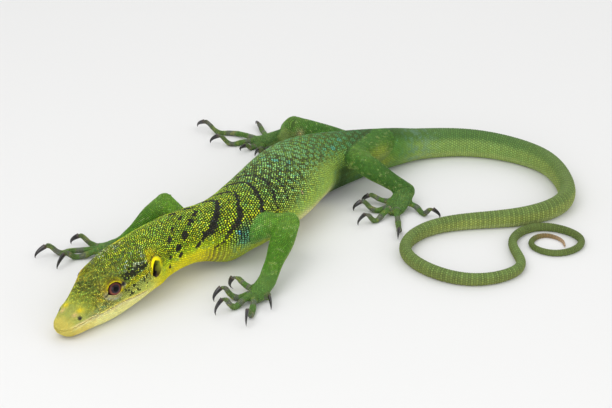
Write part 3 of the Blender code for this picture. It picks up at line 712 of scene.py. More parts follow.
    def build(self) -> bpy.types.Object:
        """Returns the eyeball, with rings close together at the edges of pupil and iris."""
        polar = np.unique(np.concatenate([np.linspace(0.0, math.pi, 60)[1:-1],
                                          self.pupil + np.array([-0.02, -0.004, 0.004, 0.02])]))
        turn = np.arange(80)[None, :] * 2 * math.pi / 80
        bulge = 1 + 0.05 * hump(polar, 0.0, 0.75)[:, None, None]
        polar = polar[:, None]
        shape = np.stack([np.sin(polar) * np.cos(turn), np.sin(polar) * np.sin(turn),
                          np.cos(polar) + 0 * turn], -1) * bulge * self.radius
        out = self.axes()[2]
        thing = tube("eyeball_" + self.word, [self.centre() + shape @ self.axes()],
                     [self.centre() + out * self.radius * 1.05, self.centre() - out * self.radius])
        off = unit(read_points(thing.data) - self.centre()) @ self.axes().T
        polar = np.arccos(np.clip(off[:, 2], -1, 1))
        write_attribute(thing.data, "polar", polar)
        write_attribute(thing.data, "turn", np.arctan2(off[:, 1], off[:, 0]))
        return thing


def write_attribute(mesh: bpy.types.Mesh, name: str, values: Array) -> None:
    """Stores one number, or one colour, for each vertex of the mesh."""
    if values.ndim == 1:
        attribute = mesh.attributes.new(name, "FLOAT", "POINT")
        attribute.data.foreach_set("value", values.astype(np.float32))
        return
    attribute = mesh.attributes.new(name, "FLOAT_COLOR", "POINT")
    four = np.ones((len(values), 4), np.float32)
    four[:, :3] = values
    attribute.data.foreach_set("color", four.ravel())


def ring_object(name: str, grid: Array) -> bpy.types.Object:
    """Returns a closed ring from a grid of points that wraps round both ways."""
    turns, sides = grid.shape[:2]
    index = np.arange(turns * sides).reshape(turns, sides)
    after, turned = np.roll(index, -1, axis=0), np.roll(index, -1, axis=1)
    both = np.roll(after, -1, axis=1)
    quads = np.stack([index, after, both, turned], -1).reshape(-1, 4)
    points = grid.reshape(-1, 3)
    volume = signed_volume(points, quads[:, :3]) + signed_volume(points, quads[:, [0, 2, 3]])
    return new_object(name, points, [quads if volume > 0 else quads[:, ::-1]])


EYES = (Eye(1), Eye(-1))


@dataclass(frozen=True)
class Ear:
    """One ear: a tall slit and a shallower hollow behind it, with a raised rim in front."""

    side: int
    place: tuple = (0.0508, 0.0136, 0.0026)
    size: tuple = (0.0030, 0.0026, 0.0039)
    lean: float = 43.0
    rim_radius: float = 0.00072
    broad_turn: float = 122.0
    depth: float = 0.006

    def axes(self) -> Array:
        """Returns rows back across the ear, out of the head, and up along the ear."""
        lean = math.radians(self.lean)
        return np.array([BACK * math.cos(lean) - TOP * math.sin(lean), LEFT * self.side,
                         TOP * math.cos(lean) + BACK * math.sin(lean)])

    def centre(self) -> Array:
        """Returns the middle of the ear's opening."""
        return on_head(self.place[0], self.side * self.place[1], self.place[2])

    def zone(self, points: Array) -> tuple[Array, Array, Array]:
        """Returns shares of the opening back and up from its middle, and the way out of it."""
        off = (points - self.centre()) @ self.axes().T
        return off[:, 0] / self.size[0], off[:, 2] / self.size[2], off[:, 1]

    def facing(self, x: Array, y: Array) -> Array:
        """Returns 1 where the rim is broadest, above in front, falling to -1 across from it."""
        return np.cos(np.arctan2(y, x) - math.radians(self.broad_turn))

    def cutters(self) -> list[bpy.types.Object]:
        """Returns the front slit and the hollow behind the fold, as closed shapes to cut."""
        back, out, up = self.axes()
        wide, deep, tall = self.size
        front = self.centre() - back * wide * 0.46 - out * 0.0002
        rear = self.centre() + back * wide * 0.42 + up * tall * 0.10
        return [ball("slit", front, self.axes(), (wide * 0.44, deep, tall), 24, 24),
                ball("hollow", rear, self.axes(), (wide * 0.52, deep * 0.62, tall * 0.80), 20, 20)]

    def rim(self) -> bpy.types.Object:
        """The raised rim: a tapering tube along the ellipse from below, in front and over the top.

        Returns:
            The tube as an object, half sunk into the head.
        """
        back, _, up = self.axes()
        a = np.radians(np.linspace(238.0, 62.0, 40))
        share = np.linspace(0.0, 1.0, 40)
        flat = (np.cos(a) * (self.size[0] + 0.00025))[:, None] * back \
            + (np.sin(a) * (self.size[2] + 0.00020))[:, None] * up
        rough = self.centre() + flat
        local = rough - on_head(0, 0, 0)
        along, level = local @ BACK, local @ TOP
        reach = head_reach(along, level)
        middle = on_head(0, 0, 0) + along[:, None] * BACK + level[:, None] * TOP \
            + LEFT * self.side * (reach - 0.00012)[:, None]
        tangents = unit(np.gradient(middle, axis=0))
        sides = unit(np.cross(tangents, LEFT * self.side))
        ups = np.cross(sides, tangents)
        swell = eased((0.0, 0.12, 0.55, 0.85, 1.0), (0.15, 0.62, 0.95, 1.15, 0.2), share)
        radius = self.rim_radius * swell
        rings = round_rings(middle, sides, ups, radius, radius * 0.95, 14)
        return tube("ear_rim", [rings], [middle[0], middle[-1]])


def head_reach(along: Array, level: Array) -> Array:
    """Returns how far the head's side stands from its axis at a distance and a height."""
    width, rise, drop, square = BODY.sizes(along)
    places = BODY.frames(along)[0] - on_head(0, 0, 0)
    high = level - places @ TOP
    share = np.minimum(np.abs(high) / np.where(high > 0, rise, drop), 0.98)
    return width * (1 - share**square) ** (1 / square)


EARS = (Ear(1), Ear(-1))


@dataclass(frozen=True)
class Nostril:
    """One nostril, a slanting pit in a low swelling."""

    side: int
    place: tuple = (0.0080, 0.0059, 0.0034)
    size: tuple = (0.0010, 0.0009, 0.0007)

    def centre(self) -> Array:
        """Returns the pit's middle."""
        return on_head(self.place[0], self.side * self.place[1], self.place[2])

    def cutter(self) -> bpy.types.Object:
        """Returns the pit as a closed shape to cut."""
        lean = math.radians(28.0)
        back = BACK * math.cos(lean) + TOP * math.sin(lean)
        high = TOP * math.cos(lean) - BACK * math.sin(lean)
        return ball("nostril", self.centre(), np.array([back, LEFT * self.side, high]),
                    self.size, 16, 20)


NOSTRILS = (Nostril(1), Nostril(-1))


class Limb(Enum):
    """Which pair of legs."""

    ARM = "arm"
    LEG = "leg"


@dataclass(frozen=True)
class Digit:
    """One finger or toe: joints from inside the palm to the claw's root, then the claw's tip."""

    owner: str
    number: int
    joints: tuple
    radii: tuple = (0.0019, 0.0013, 0.0011)
    pad_swell: float = 0.0002
    arch: float = 1.28
    claw_half: tuple = (0.0008, 0.0013)
    claw_arch: float = 0.0028

    def path(self) -> Curve:
        """Returns the middle line to the claw's root."""
        points = np.array(self.joints[:-1]) - (0.0, 0.0, PLAN.sink)
        raised = np.maximum(points[:, 2] - 0.0014, 0.0)
        points[:, 2] += (self.arch - 1) * raised
        return Curve(points + SHIFT)

    def tip(self) -> Array:
        """Returns the claw's tip."""
        return np.array(self.joints[-1]) + SHIFT

    def across(self) -> Array:
        """Returns the level way square to the digit's heading."""
        heading = self.tip() - self.path().points[0]
        return unit(np.cross((heading[0], heading[1], 0.0), UP))

    def frames(self, distance: Array) -> tuple[Array, Array, Array, Array]:
        """Returns places, tangents, sides and ups along the digit."""
        path, across = self.path(), self.across()
        tangents = path.tangents(distance)
        sides = unit(across - tangents * (tangents @ across)[:, None])
        return path.at(distance), tangents, sides, np.cross(sides, tangents)

    def radius(self, distance: Array) -> Array:
        """Radius along the digit: a taper, fuller where it lies on the floor and at knuckles."""
        path = self.path()
        share = distance / path.length
        taper = eased((0.0, 0.35, 1.0), self.radii, share)
        height = path.at(distance)[:, 2]
        low = np.maximum(0.0, 1 - np.abs(height - 0.0017) / 0.0010)
        knuckles = 0.00010 * sum(hump(distance, knot, 0.0010) for knot in path.knots[1:-1])
        waist = 0.00007 * (1 - step(0.0, 0.35, share))
        return taper + self.pad_swell * low + knuckles - waist

    def build(self) -> bpy.types.Object:
        """Returns the digit as a closed tube with a rounded end where the claw comes out."""
        length = self.path().length
        end = np.array([0.0004, 0.0007, 0.0009])
        distance = np.concatenate([between(0.0, length - 0.0006, 0.00068),
                                   length - 0.0006 + end])
        held = np.minimum(distance, length - 0.0003)
        places, tangents, sides, ups = self.frames(held)
        places = places + tangents * (distance - held)[:, None]
        radius = self.radius(held)
        radius[-3:] *= np.array([0.93, 0.78, 0.50])
        rings = round_rings(places, sides, ups, radius, radius, 20)
        return tube("digit", [rings], [places[0] - tangents[0] * 0.0005,
                                       places[-1] + tangents[-1] * 0.00008])

    def claw(self) -> bpy.types.Object:
        """The claw: a hook on a quadratic arch from the digit's end to the tip.

        Its section is an ellipse taller than wide, narrower below, that tapers with the share t
        of the way by 1 - 0.94 t^1.25.

        Returns:
            The claw as an object.
        """
        length = self.path().length
        places, tangents, _, _ = self.frames(np.array([length - 0.0003]))
        root, heading, across = places[0], tangents[0], self.across()
        start, tip = root - heading * 0.0006, self.tip() + (0.0, 0.0, 0.0001)
        top = (root + tip) / 2 + unit(heading + 0.35 * UP) * self.claw_arch
        t = np.linspace(0.0, 1.0, 20)[:, None]
        middle = start * (1 - t) ** 2 + 2 * top * t * (1 - t) + tip * t**2
        ways = unit(2 * (1 - t) * (top - start) + 2 * t * (tip - top))
        sides = unit(across - ways * (ways @ across)[:, None])
        ups = np.cross(sides, ways)
        taper = 1 - 0.94 * t[:, 0] ** 1.25
        angle = np.arange(14)[None, :] * 2 * math.pi / 14
        narrow = 1 - 0.28 * np.maximum(-np.sin(angle), 0)
        grid = (middle[:, None]
                + (np.cos(angle) * narrow * self.claw_half[0] * taper[:, None])[..., None]
                * sides[:, None]
                + (np.sin(angle) * self.claw_half[1] * taper[:, None])[..., None] * ups[:, None])
        grid[..., 2] = np.maximum(grid[..., 2], 0.00002)
        thing = tube(f"talon_{self.owner}_{self.number}", [grid], [start, middle[-1]])
        share = np.concatenate([np.repeat(t[:, 0], grid.shape[1]), [0.0, 1.0]])
        tint = mix(ink(74, 60, 50), ink(22, 20, 22), step(0.0, 0.10, share))
        tint = mix(tint, ink(70, 58, 50), 0.6 * step(0.80, 1.0, share))
        write_attribute(thing.data, "marking", tint)
        return thing


# Joints of the digits from thumb to little finger or toe, in tenths of a millimetre.
HAND_LEFT = (
    ((-250, -955, 40), (-295, -910, 50), (-320, -902, 64), (-341, -906, 58), (-332, -893, 4)),
    ((-245, -985, 36), (-315, -990, 18), (-347, -982, 34), (-372, -990, 60), (-389, -998, 58),
     (-412, -1010, 3)),
    ((-240, -1005, 36), (-290, -1045, 24), (-318, -1072, 17), (-342, -1078, 34), (-362, -1088, 57),
     (-378, -1099, 55), (-398, -1131, 3)),
    ((-228, -1010, 36), (-236, -1095, 22), (-242, -1142, 17), (-250, -1162, 36), (-256, -1178, 56),
     (-258, -1193, 54), (-260, -1225, 3)),
    ((-195, -955, 40), (-181, -985, 18), (-172, -1010, 31), (-166, -1035, 47), (-162, -1049, 45),
     (-156, -1083, 3)))
HAND_RIGHT = (
    ((-945, -580, 38), (-962, -665, 19), (-968, -695, 34), (-970, -712, 34), (-978, -745, 3)),
    ((-960, -580, 36), (-985, -650, 18), (-995, -680, 34), (-998, -700, 35), (-1004, -734, 3)),
    ((-965, -565, 36), (-1039, -590, 24), (-1095, -600, 17), (-1118, -616, 34), (-1133, -643, 50),
     (-1142, -661, 48), (-1165, -705, 3)),
    ((-970, -555, 36), (-1063, -553, 26), (-1131, -554, 21), (-1175, -558, 17), (-1200, -561, 34),
     (-1226, -568, 51), (-1245, -576, 49), (-1286, -595, 3)),
    ((-955, -530, 38), (-1025, -480, 18), (-1058, -468, 34), (-1086, -464, 51), (-1103, -464, 49),
     (-1135, -452, 3)))
FOOT_LEFT = (
    ((440, -55, 40), (365, -10, 36), (330, -4, 48), (313, -6, 46), (292, 5, 3)),
    ((435, -85, 38), (346, -99, 18), (315, -88, 33), (287, -83, 50), (270, -85, 48), (243, -90, 3)),
    ((440, -105, 36), (377, -178, 23), (341, -216, 17), (319, -217, 33), (300, -224, 49),
     (285, -232, 47), (260, -252, 3)),
    ((452, -115, 36), (457, -243, 21), (458, -322, 17), (456, -346, 33), (453, -363, 34),
     (448, -402, 3)),
    ((490, -55, 40), (565, -88, 22), (594, -138, 17), (612, -150, 33), (629, -162, 48),
     (642, -168, 45), (668, -168, 3)))
FOOT_RIGHT = (
    ((-240, 700, 38), (-252, 640, 18), (-262, 612, 33), (-268, 596, 34), (-278, 574, 10)),
    ((-262, 712, 38), (-305, 682, 18), (-328, 668, 33), (-342, 662, 34), (-359, 652, 8)),
    ((-275, 725, 38), (-363, 742, 22), (-425, 740, 17), (-454, 750, 34), (-479, 755, 50),
     (-497, 757, 48), (-534, 768, 3)),
    ((-270, 740, 38), (-335, 828, 26), (-385, 872, 20), (-440, 888, 18), (-496, 901, 17),
     (-536, 930, 34), (-570, 951, 51), (-588, 962, 49), (-623, 1003, 3)),
    ((-225, 750, 40), (-232, 850, 26), (-250, 930, 18), (-268, 985, 26), (-276, 1003, 28),
     (-290, 1042, 3)))


@dataclass(frozen=True)
class Length:
    """A straight length of a leg from joint to joint, with half sizes at shares of the way."""

    start: Array
    end: Array
    shares: tuple
    wide: tuple
    high: tuple

    @property
    def span(self) -> float:
        """Returns how far apart the joints are."""
        return float(np.linalg.norm(self.end - self.start))

    @property
    def way(self) -> Array:
        """Returns the unit way from joint to joint."""
        return (self.end - self.start) / self.span

    @property
    def side(self) -> Array:
        """Returns the level way square to the length."""
        return unit(np.cross(self.way, UP))

    def halves(self, share: Array) -> tuple[Array, Array]:
        """Returns half widths and half heights at shares of the way."""
        return eased(self.shares, self.wide, share), eased(self.shares, self.high, share)

    def build(self) -> bpy.types.Object:
        """Returns a closed tube between the joints with a half ball about each."""
        way, side, length, wide = self.way, self.side, self.span, self.wide
        bow = np.sin(np.radians((15, 30, 45, 58, 70, 80)))
        inner = between(0.0, 1.0, 0.0011 / length)
        places = np.concatenate([-bow[::-1] * wide[0], inner * length, length + bow * wide[-1]])
        shrink = np.sqrt(1 - bow**2)
        scale = np.concatenate([shrink[::-1], np.ones(len(inner)), shrink])
        across, upward = self.halves(np.clip(places / length, 0.0, 1.0))
        level = np.ones((len(places), 1))
        rings = round_rings(self.start + places[:, None] * way, level * side,
                            level * np.cross(side, way), across * scale, upward * scale, 40)
        return tube("length", [rings], [self.start - way * wide[0], self.end + way * wide[-1]])


@dataclass(frozen=True)
class Leg:
    """One leg: upper and lower length, palm or sole, and five digits."""

    kind: Limb
    word: str
    joints: tuple
    digit_joints: tuple
    # Radii at the root, upper muscle, middle joint, lower muscle and end, and the palm's halves.
    radii: tuple
    palm: tuple

    @property
    def owner(self) -> str:
        """Returns the name of the hand or foot."""
        return ("hand_" if self.kind is Limb.ARM else "foot_") + self.word

    def digits(self) -> list[Digit]:
        """Returns the five digits."""
        return [Digit(self.owner, i, joints) for i, joints in enumerate(self.digit_joints, 1)]

    def lengths(self) -> list[Length]:
        """Returns the upper and the lower length, and the palm or sole."""
        root, joint, end, palm = np.array(self.joints) + SHIFT
        top, muscle, middle, low, last = self.radii
        wide, high = self.palm
        upper, lower = (top, muscle, middle), (middle, low, last, last)
        return [Length(root, joint, (0.0, 0.5, 1.0), upper, upper),
                Length(joint, end, (0.0, 0.3, 0.75, 1.0), lower, lower),
                Length(end, palm, (0.0, 0.6, 1.0), (last, wide, wide), (last, high, high))]

    def build(self) -> list[bpy.types.Object]:
        """Returns the leg's closed tubes, to be fused with the body."""
        return [part.build() for part in (*self.lengths(), *self.digits())]


# Kind, side, joints from root to palm, digits, radii and the palm's halves, in tenths of a mm.
LEGS = tuple(Leg(kind, word, *tenths(sizes)) for kind, word, sizes in (
    (Limb.ARM, "left", (((-400, -585, 138), (-80, -620, 203), (-176, -928, 66), (-222, -993, 29)),
                        HAND_LEFT, (88, 66, 51, 56, 41), (47, 30))),
    (Limb.ARM, "right", (((-520, -570, 130), (-684, -366, 188), (-877, -550, 60),
                          (-962, -558, 28)), HAND_RIGHT, (68, 44, 45, 48, 33), (49, 30))),
    (Limb.LEG, "left", (((390, 420, 150), (258, 112, 204), (512, -4, 74), (452, -100, 30)),
                        FOOT_LEFT, (90, 76, 58, 56, 43), (56, 32))),
    (Limb.LEG, "right", (((270, 400, 128), (-60, 470, 228), (-125, 725, 70), (-255, 725, 30)),
                         FOOT_RIGHT, (86, 73, 60, 58, 40), (56, 32)))))
DIGITS = [digit for leg in LEGS for digit in leg.digits()]


@dataclass
class Place:
    """Where points lie on the animal, one row to a point.

    Part 0 is the body, 1 to 4 the legs and 5 to 24 the digits. Along is the distance from the
    snout, the leg's root or the digit's root, share the same as a share of the whole, and angle
    the turn round it, from the left on the body and from the side on legs and digits. Size is
    the mean half size of the part there.
    """

    points: Array
    part: Array
    along: Array
    share: Array
    angle: Array
    size: Array

    @property
    def over(self) -> Array:
        """Returns degrees up from the side, alike on left and right."""
        return np.degrees(np.arctan2(np.sin(self.angle), np.abs(np.cos(self.angle))))

    def round_mm(self) -> Array:
        """Returns millimetres to a degree round the part."""
        return self.size / MM * math.pi / 180

    def on_head(self) -> Array:
        """Returns millimetres back, left and up from the snout in the head's own axes."""
        return (self.points - on_head(0, 0, 0)) @ np.array([BACK, LEFT, TOP]).T / MM


class Anatomy:
    """The middle lines of body, legs and digits, and the search for the nearest of them."""

    def __init__(self) -> None:
        """Samples every middle line with its frames and half sizes."""
        distance = between(0.0, SPINE.length, 0.0010)
        places, tangents, sides, _ = BODY.frames(distance)
        width, rise, _, _ = BODY.sizes(distance)
        rows = [self.row(0, distance, SPINE.length, places, tangents, sides, width, rise)]
        for number, leg in enumerate(LEGS, 1):
            run, total = 0.0, sum(length.span for length in leg.lengths())
            for length in leg.lengths():
                distance = between(0.0, length.span, 0.0010)
                level = np.ones((len(distance), 1))
                rows.append(self.row(
                    number, run + distance, total, length.start + distance[:, None] * length.way,
                    level * length.way, level * length.side,
                    *length.halves(distance / length.span)))
                run += length.span
        for number, digit in enumerate(DIGITS, 5):
            whole = digit.path().length
            distance = between(0.0, whole, 0.0007)
            places, tangents, sides, _ = digit.frames(distance)
            radius = digit.radius(distance)
            rows.append(self.row(number, distance, whole, places, tangents, sides, radius, radius))
        self.table = {key: np.concatenate([r[key] for r in rows]) for key in rows[0]}

    @staticmethod
    def row(part: int, along: Array, total: float, places: Array, tangents: Array,
            sides: Array, wide: Array, high: Array) -> dict[str, Array]:
        """Returns one line's samples as named arrays."""
        count = len(along)
        return {"part": np.full(count, part), "along": along, "total": np.full(count, total),
                "place": places, "tangent": tangents, "side": sides, "wide": wide, "high": high}

    def locate(self, points: Array) -> Place:
        """Finds the part of the animal to which each point belongs.

        Each point takes the sample whose distance less its mean half size is least.

        Args:
            points: places, one to a row.

        Returns:
            The part, distance along it and angle round it of every point.
        """
        table = self.table
        middle = (table["wide"] + table["high"]) / 2
        best = np.empty(len(points), int)
        chunk = 4000
        squares = (table["place"] ** 2).sum(1)
        for at in range(0, len(points), chunk):
            block = points[at: at + chunk]
            gap = (block**2).sum(1)[:, None] + squares - 2 * block @ table["place"].T
            best[at: at + chunk] = np.argmin(np.sqrt(np.maximum(gap, 0.0)) - middle, axis=1)
        off = points - table["place"][best]
        tangent, side = table["tangent"][best], table["side"][best]
        ahead = np.sum(off * tangent, axis=1)
        aside = np.sum(off * side, axis=1) / table["wide"][best]
        above = np.sum(off * np.cross(side, tangent), axis=1) / table["high"][best]
        along = table["along"][best] + ahead
        return Place(points, table["part"][best], along, along / table["total"][best],
                     np.arctan2(above, aside), middle[best])


ANATOMY = Anatomy()


class Skin:
    """The one skin of head, jaw, neck, trunk, legs, digits and tail."""

    smoothing_rounds = 36
    crease_rounds = 24
    sharp_degrees = 22.0
    head_end = 0.070
    scale_depth = 0.00012
    digit_scale_depth = 0.00008

    def build(self) -> bpy.types.Object:
        """Returns the fused, filleted skin, flat where it rests on the floor."""
        skin = BODY.build()
        joined = [eye.build_orbit() for eye in EYES] + [ear.rim() for ear in EARS]
        for part in EYES:
            joined += part.lids()
        for leg in LEGS:
            joined += leg.build()
        fuse(skin, "UNION", joined)
        cuts = [nostril.cutter() for nostril in NOSTRILS]
        for part in [*EYES, *EARS]:
            cuts += part.cutters()
        fuse(skin, "DIFFERENCE", cuts)
        self.fillet(skin.data)
        self.draw_in(skin.data)
        skin.data.shade_smooth()
        return skin

    @staticmethod
    def settle(mesh: bpy.types.Mesh, points: Array) -> None:
        """Writes the skin's points, with none below the floor."""
        points[:, 2] = np.maximum(points[:, 2], 0.0)
        mesh.vertices.foreach_set("co", points.astype(np.float32).ravel())
        mesh.update()

    def draw_in(self, mesh: bpy.types.Mesh) -> None:
        """Moves the skin in along its normals by the depth of its scales, but not where bare."""
        points = read_points(mesh)
        normals = read(mesh.vertex_normals, "vector", 3, np.float32)
        place = ANATOMY.locate(points)
        depth = np.where(place.part > 4, self.digit_scale_depth, self.scale_depth)
        self.settle(mesh, points - normals * (depth * (1 - bare(place)))[:, None])

    def fillet(self, mesh: bpy.types.Mesh) -> None:
        """Rounds the creases where parts meet, and lays the underside on the floor.

        Every vertex moves towards the mean of its neighbours, by a share that falls off with the
        distance from the nearest crease, over a reach that depends on the part.

        Args:
            mesh: the skin's mesh, changed in place.
        """
        points = read_points(mesh)
        edges = read(mesh.edges, "vertices", 2, np.int32)
        place = ANATOMY.locate(points)
        reach, pull = self.reach(place)
        far = self.crease_distance(mesh, points, edges, place)
        weight = (pull * np.exp(-((far / reach) ** 2)))[:, None]
        degree = np.bincount(edges.ravel(), minlength=len(points))[:, None]
        for _ in range(self.smoothing_rounds):
            total = np.stack([np.bincount(edges[:, 0], points[edges[:, 1], k], len(points))
                              + np.bincount(edges[:, 1], points[edges[:, 0], k], len(points))
                              for k in range(3)], axis=1)
            points = points + weight * (total / degree - points)
        self.settle(mesh, points)

    def reach(self, place: Place) -> tuple[Array, Array]:
        """Returns how far a crease is rounded, and how strongly, at each point."""
        body = place.part == 0
        leg = (place.part > 0) & (place.part < 5)
        reach = np.where(body, 0.0055, 0.0012)
        reach = np.where(leg, 0.0055 - 0.0032 * step(0.2, 0.9, place.share), reach)
        head = body & (place.along < self.head_end)
        reach, pull = np.where(head, 0.00035, reach), np.where(head, 0.10, 0.5)
        for eye in EYES:
            edge, _, out = eye.zone(place.points)
            outer = (edge > 0.0022) & (edge < 0.0060) & (out > -0.004)
            reach, pull = np.where(outer, 0.0009, reach), np.where(outer, 0.35, pull)
        return reach, pull

    def crease_distance(self, mesh: bpy.types.Mesh, points: Array, edges: Array,
                        place: Place) -> Array:
        """Returns the distance along edges from each vertex to the nearest crease."""
        nose = (place.part == 0) & (place.along < self.head_end)
        middles = points[edges].mean(axis=1)
        features = np.zeros(len(edges), bool)
        for parts, radius in ((EYES, 0.0070), (EARS, 0.0066), (NOSTRILS, 0.0018)):
            for part in parts:
                features |= np.linalg.norm(middles - part.centre(), axis=1) < radius
        sharp = self.sharp_edges(mesh, edges) & (features | ~nose[edges[:, 0]])
        far = np.full(len(points), 1.0)
        far[edges[sharp].ravel()] = 0.0
        lengths = np.linalg.norm(points[edges[:, 0]] - points[edges[:, 1]], axis=1)
        for _ in range(self.crease_rounds):
            np.minimum.at(far, edges[:, 0], far[edges[:, 1]] + lengths)
            np.minimum.at(far, edges[:, 1], far[edges[:, 0]] + lengths)
        return far

    def sharp_edges(self, mesh: bpy.types.Mesh, edges: Array) -> Array:
        """Returns which edges have faces that meet at more than the sharp angle."""
        normals = read(mesh.polygons, "normal", 3, np.float32)
        loop_edges = read(mesh.loops, "edge_index", 1, np.int32)
        totals = read(mesh.polygons, "loop_total", 1, np.int32)
        owner = np.repeat(np.arange(len(totals)), totals)
        order = np.argsort(loop_edges, kind="stable")
        first = np.searchsorted(loop_edges[order], np.arange(len(edges)))
        pair = owner[order[np.stack([first, np.minimum(first + 1, len(order) - 1)])]]
        dot = np.sum(normals[pair[0]] * normals[pair[1]], axis=1)
        return dot < math.cos(math.radians(self.sharp_degrees))


def ink(red: float, green: float, blue: float) -> Array:
    """Returns a colour seen on screen, from 0 to 255, as linear light."""
    c = np.array((red, green, blue)) / 255
    return np.where(c > 0.04045, ((c + 0.055) / 1.055) ** 2.4, c / 12.92)


def blend(at: Array, first: tuple, *turns: tuple) -> Array:
    """Returns colours along a measure: the first ink, turned to each next from low to high."""
    colour = ink(*first)
    for low, high, following in turns:
        colour = mix(colour, ink(*following), step(low, high, at))
    return colour


def wash(colour: Array, tint: tuple, share: Array) -> Array:
    """Returns the colours with a share of one ink over them."""
    return mix(colour, ink(*tint), share)


@dataclass(frozen=True)
class Stroke:
    """A mark on the body: a line of distance in mm and degrees over the side, and half widths."""

    line: tuple
    halves: tuple

    def cover(self, along: Array, over: Array, round_mm: Array, ragged: Array) -> Array:
        """How far a mark covers each point, on the body's surface rolled out flat.

        Args:
            along: distance from the snout in mm.
            over: degrees over the side.
            round_mm: millimetres to a degree round the body.
            ragged: millimetres by which the edge wanders.

        Returns:
            1 inside the mark, 0 outside.
        """
        best = np.full(along.shape, 9.0)
        ends = list(zip(self.line, self.halves))
        for (a, first), (b, last) in zip(ends, ends[1:] or ends):
            run = np.stack([np.full(along.shape, b[0] - a[0]), (b[1] - a[1]) * round_mm], -1)
            off = np.stack([along - a[0], (over - a[1]) * round_mm], -1)
            length = np.maximum((run**2).sum(-1), 1e-9)
            t = np.clip((off * run).sum(-1) / length, 0.0, 1.0)
            gap = np.linalg.norm(off - run * t[..., None], axis=-1) - (first + (last - first) * t)
            best = np.minimum(best, gap)
        return 1 - step(-0.18, 0.22, best + ragged)


NECK_MARKS = (
    Stroke(((101.5, 102), (96.9, 70), (93.1, 50), (89.5, 28), (86.2, 22), (84.4, 13.5)),
           (0.9, 1.35, 1.5, 1.5, 1.3, 0.9)),
    Stroke(((83.2, 10), (80.4, 3)), (0.8, 1.2)),
    Stroke(((111.5, 99), (110.9, 87), (105.8, 61.5), (103.8, 44.4), (100.3, 27.5), (97.2, 19.5)),
           (0.5, 0.8, 1.15, 1.3, 1.1, 0.6)),
    Stroke(((97.2, 19.5), (95, 5), (91.2, -10)), (0.45, 0.30, 0.35)),
    Stroke(((121.5, 98), (120.6, 86), (117.1, 62), (116.1, 48), (113.9, 37.4), (111.8, 24)),
           (0.45, 0.7, 0.95, 1.0, 0.8, 0.35)),
    Stroke(((128.0, 88), (127.5, 76), (125.1, 53.6), (122.3, 37.4), (121.4, 24.3)),
           (0.4, 0.6, 0.65, 0.6, 0.3)),
    Stroke(((133.5, 70), (132.4, 57), (130.7, 42), (129.1, 23.7)), (0.3, 0.42, 0.42, 0.25)),
    Stroke(((136.7, 44), (135.4, 26.5)), (0.25, 0.2)),
    Stroke(((87.4, 81), (84.9, 73)), (1.0, 0.9)), Stroke(((82.6, 62), (80.4, 54)), (1.1, 1.1)),
    Stroke(((76.0, 41), (74.0, 34)), (1.35, 1.3)), Stroke(((68.6, 22), (66.8, 18)), (1.4, 1.1)),
    Stroke(((69.2, 4), (67.4, 1)), (1.0, 0.9)), Stroke(((66.3, 47), (64.7, 43)), (0.9, 0.9)),
    Stroke(((61.4, 12),), (1.1,)), Stroke(((60.3, -9),), (0.8,)), Stroke(((74.5, 14),), (0.7,)),
    Stroke(((91.5, 96), (89.5, 92)), (0.8, 0.7)), Stroke(((79.0, 80), (77.5, 74)), (0.7, 0.7)),
    Stroke(((71.0, 62), (69.5, 57)), (0.7, 0.7)), Stroke(((55.3, 29),), (0.5,)),
    Stroke(((46.5, 39),), (0.55,)), Stroke(((44.9, 38.4),), (0.5,)), Stroke(((42.7, 36),), (0.5,)))
EYE_STRIPE = Stroke(((32.0, 43), (33.6, 44), (36.7, 44), (40.1, 42.5), (44.7, 40.5), (49.5, 36)),
                    (0.6, 1.2, 1.7, 1.6, 1.3, 0.7))
EYE_STREAK = Stroke(((32.6, 25), (36.0, 27), (39.4, 27), (43.5, 26), (47.2, 25)),
                    (0.7, 1.0, 1.2, 1.1, 0.8))
SHOULDER_BLUE = Stroke(((100.6, 12), (101.4, 8)), (0.9, 0.7))
FLANK_PINK = Stroke(((140.4, 21.0),), (0.9,))


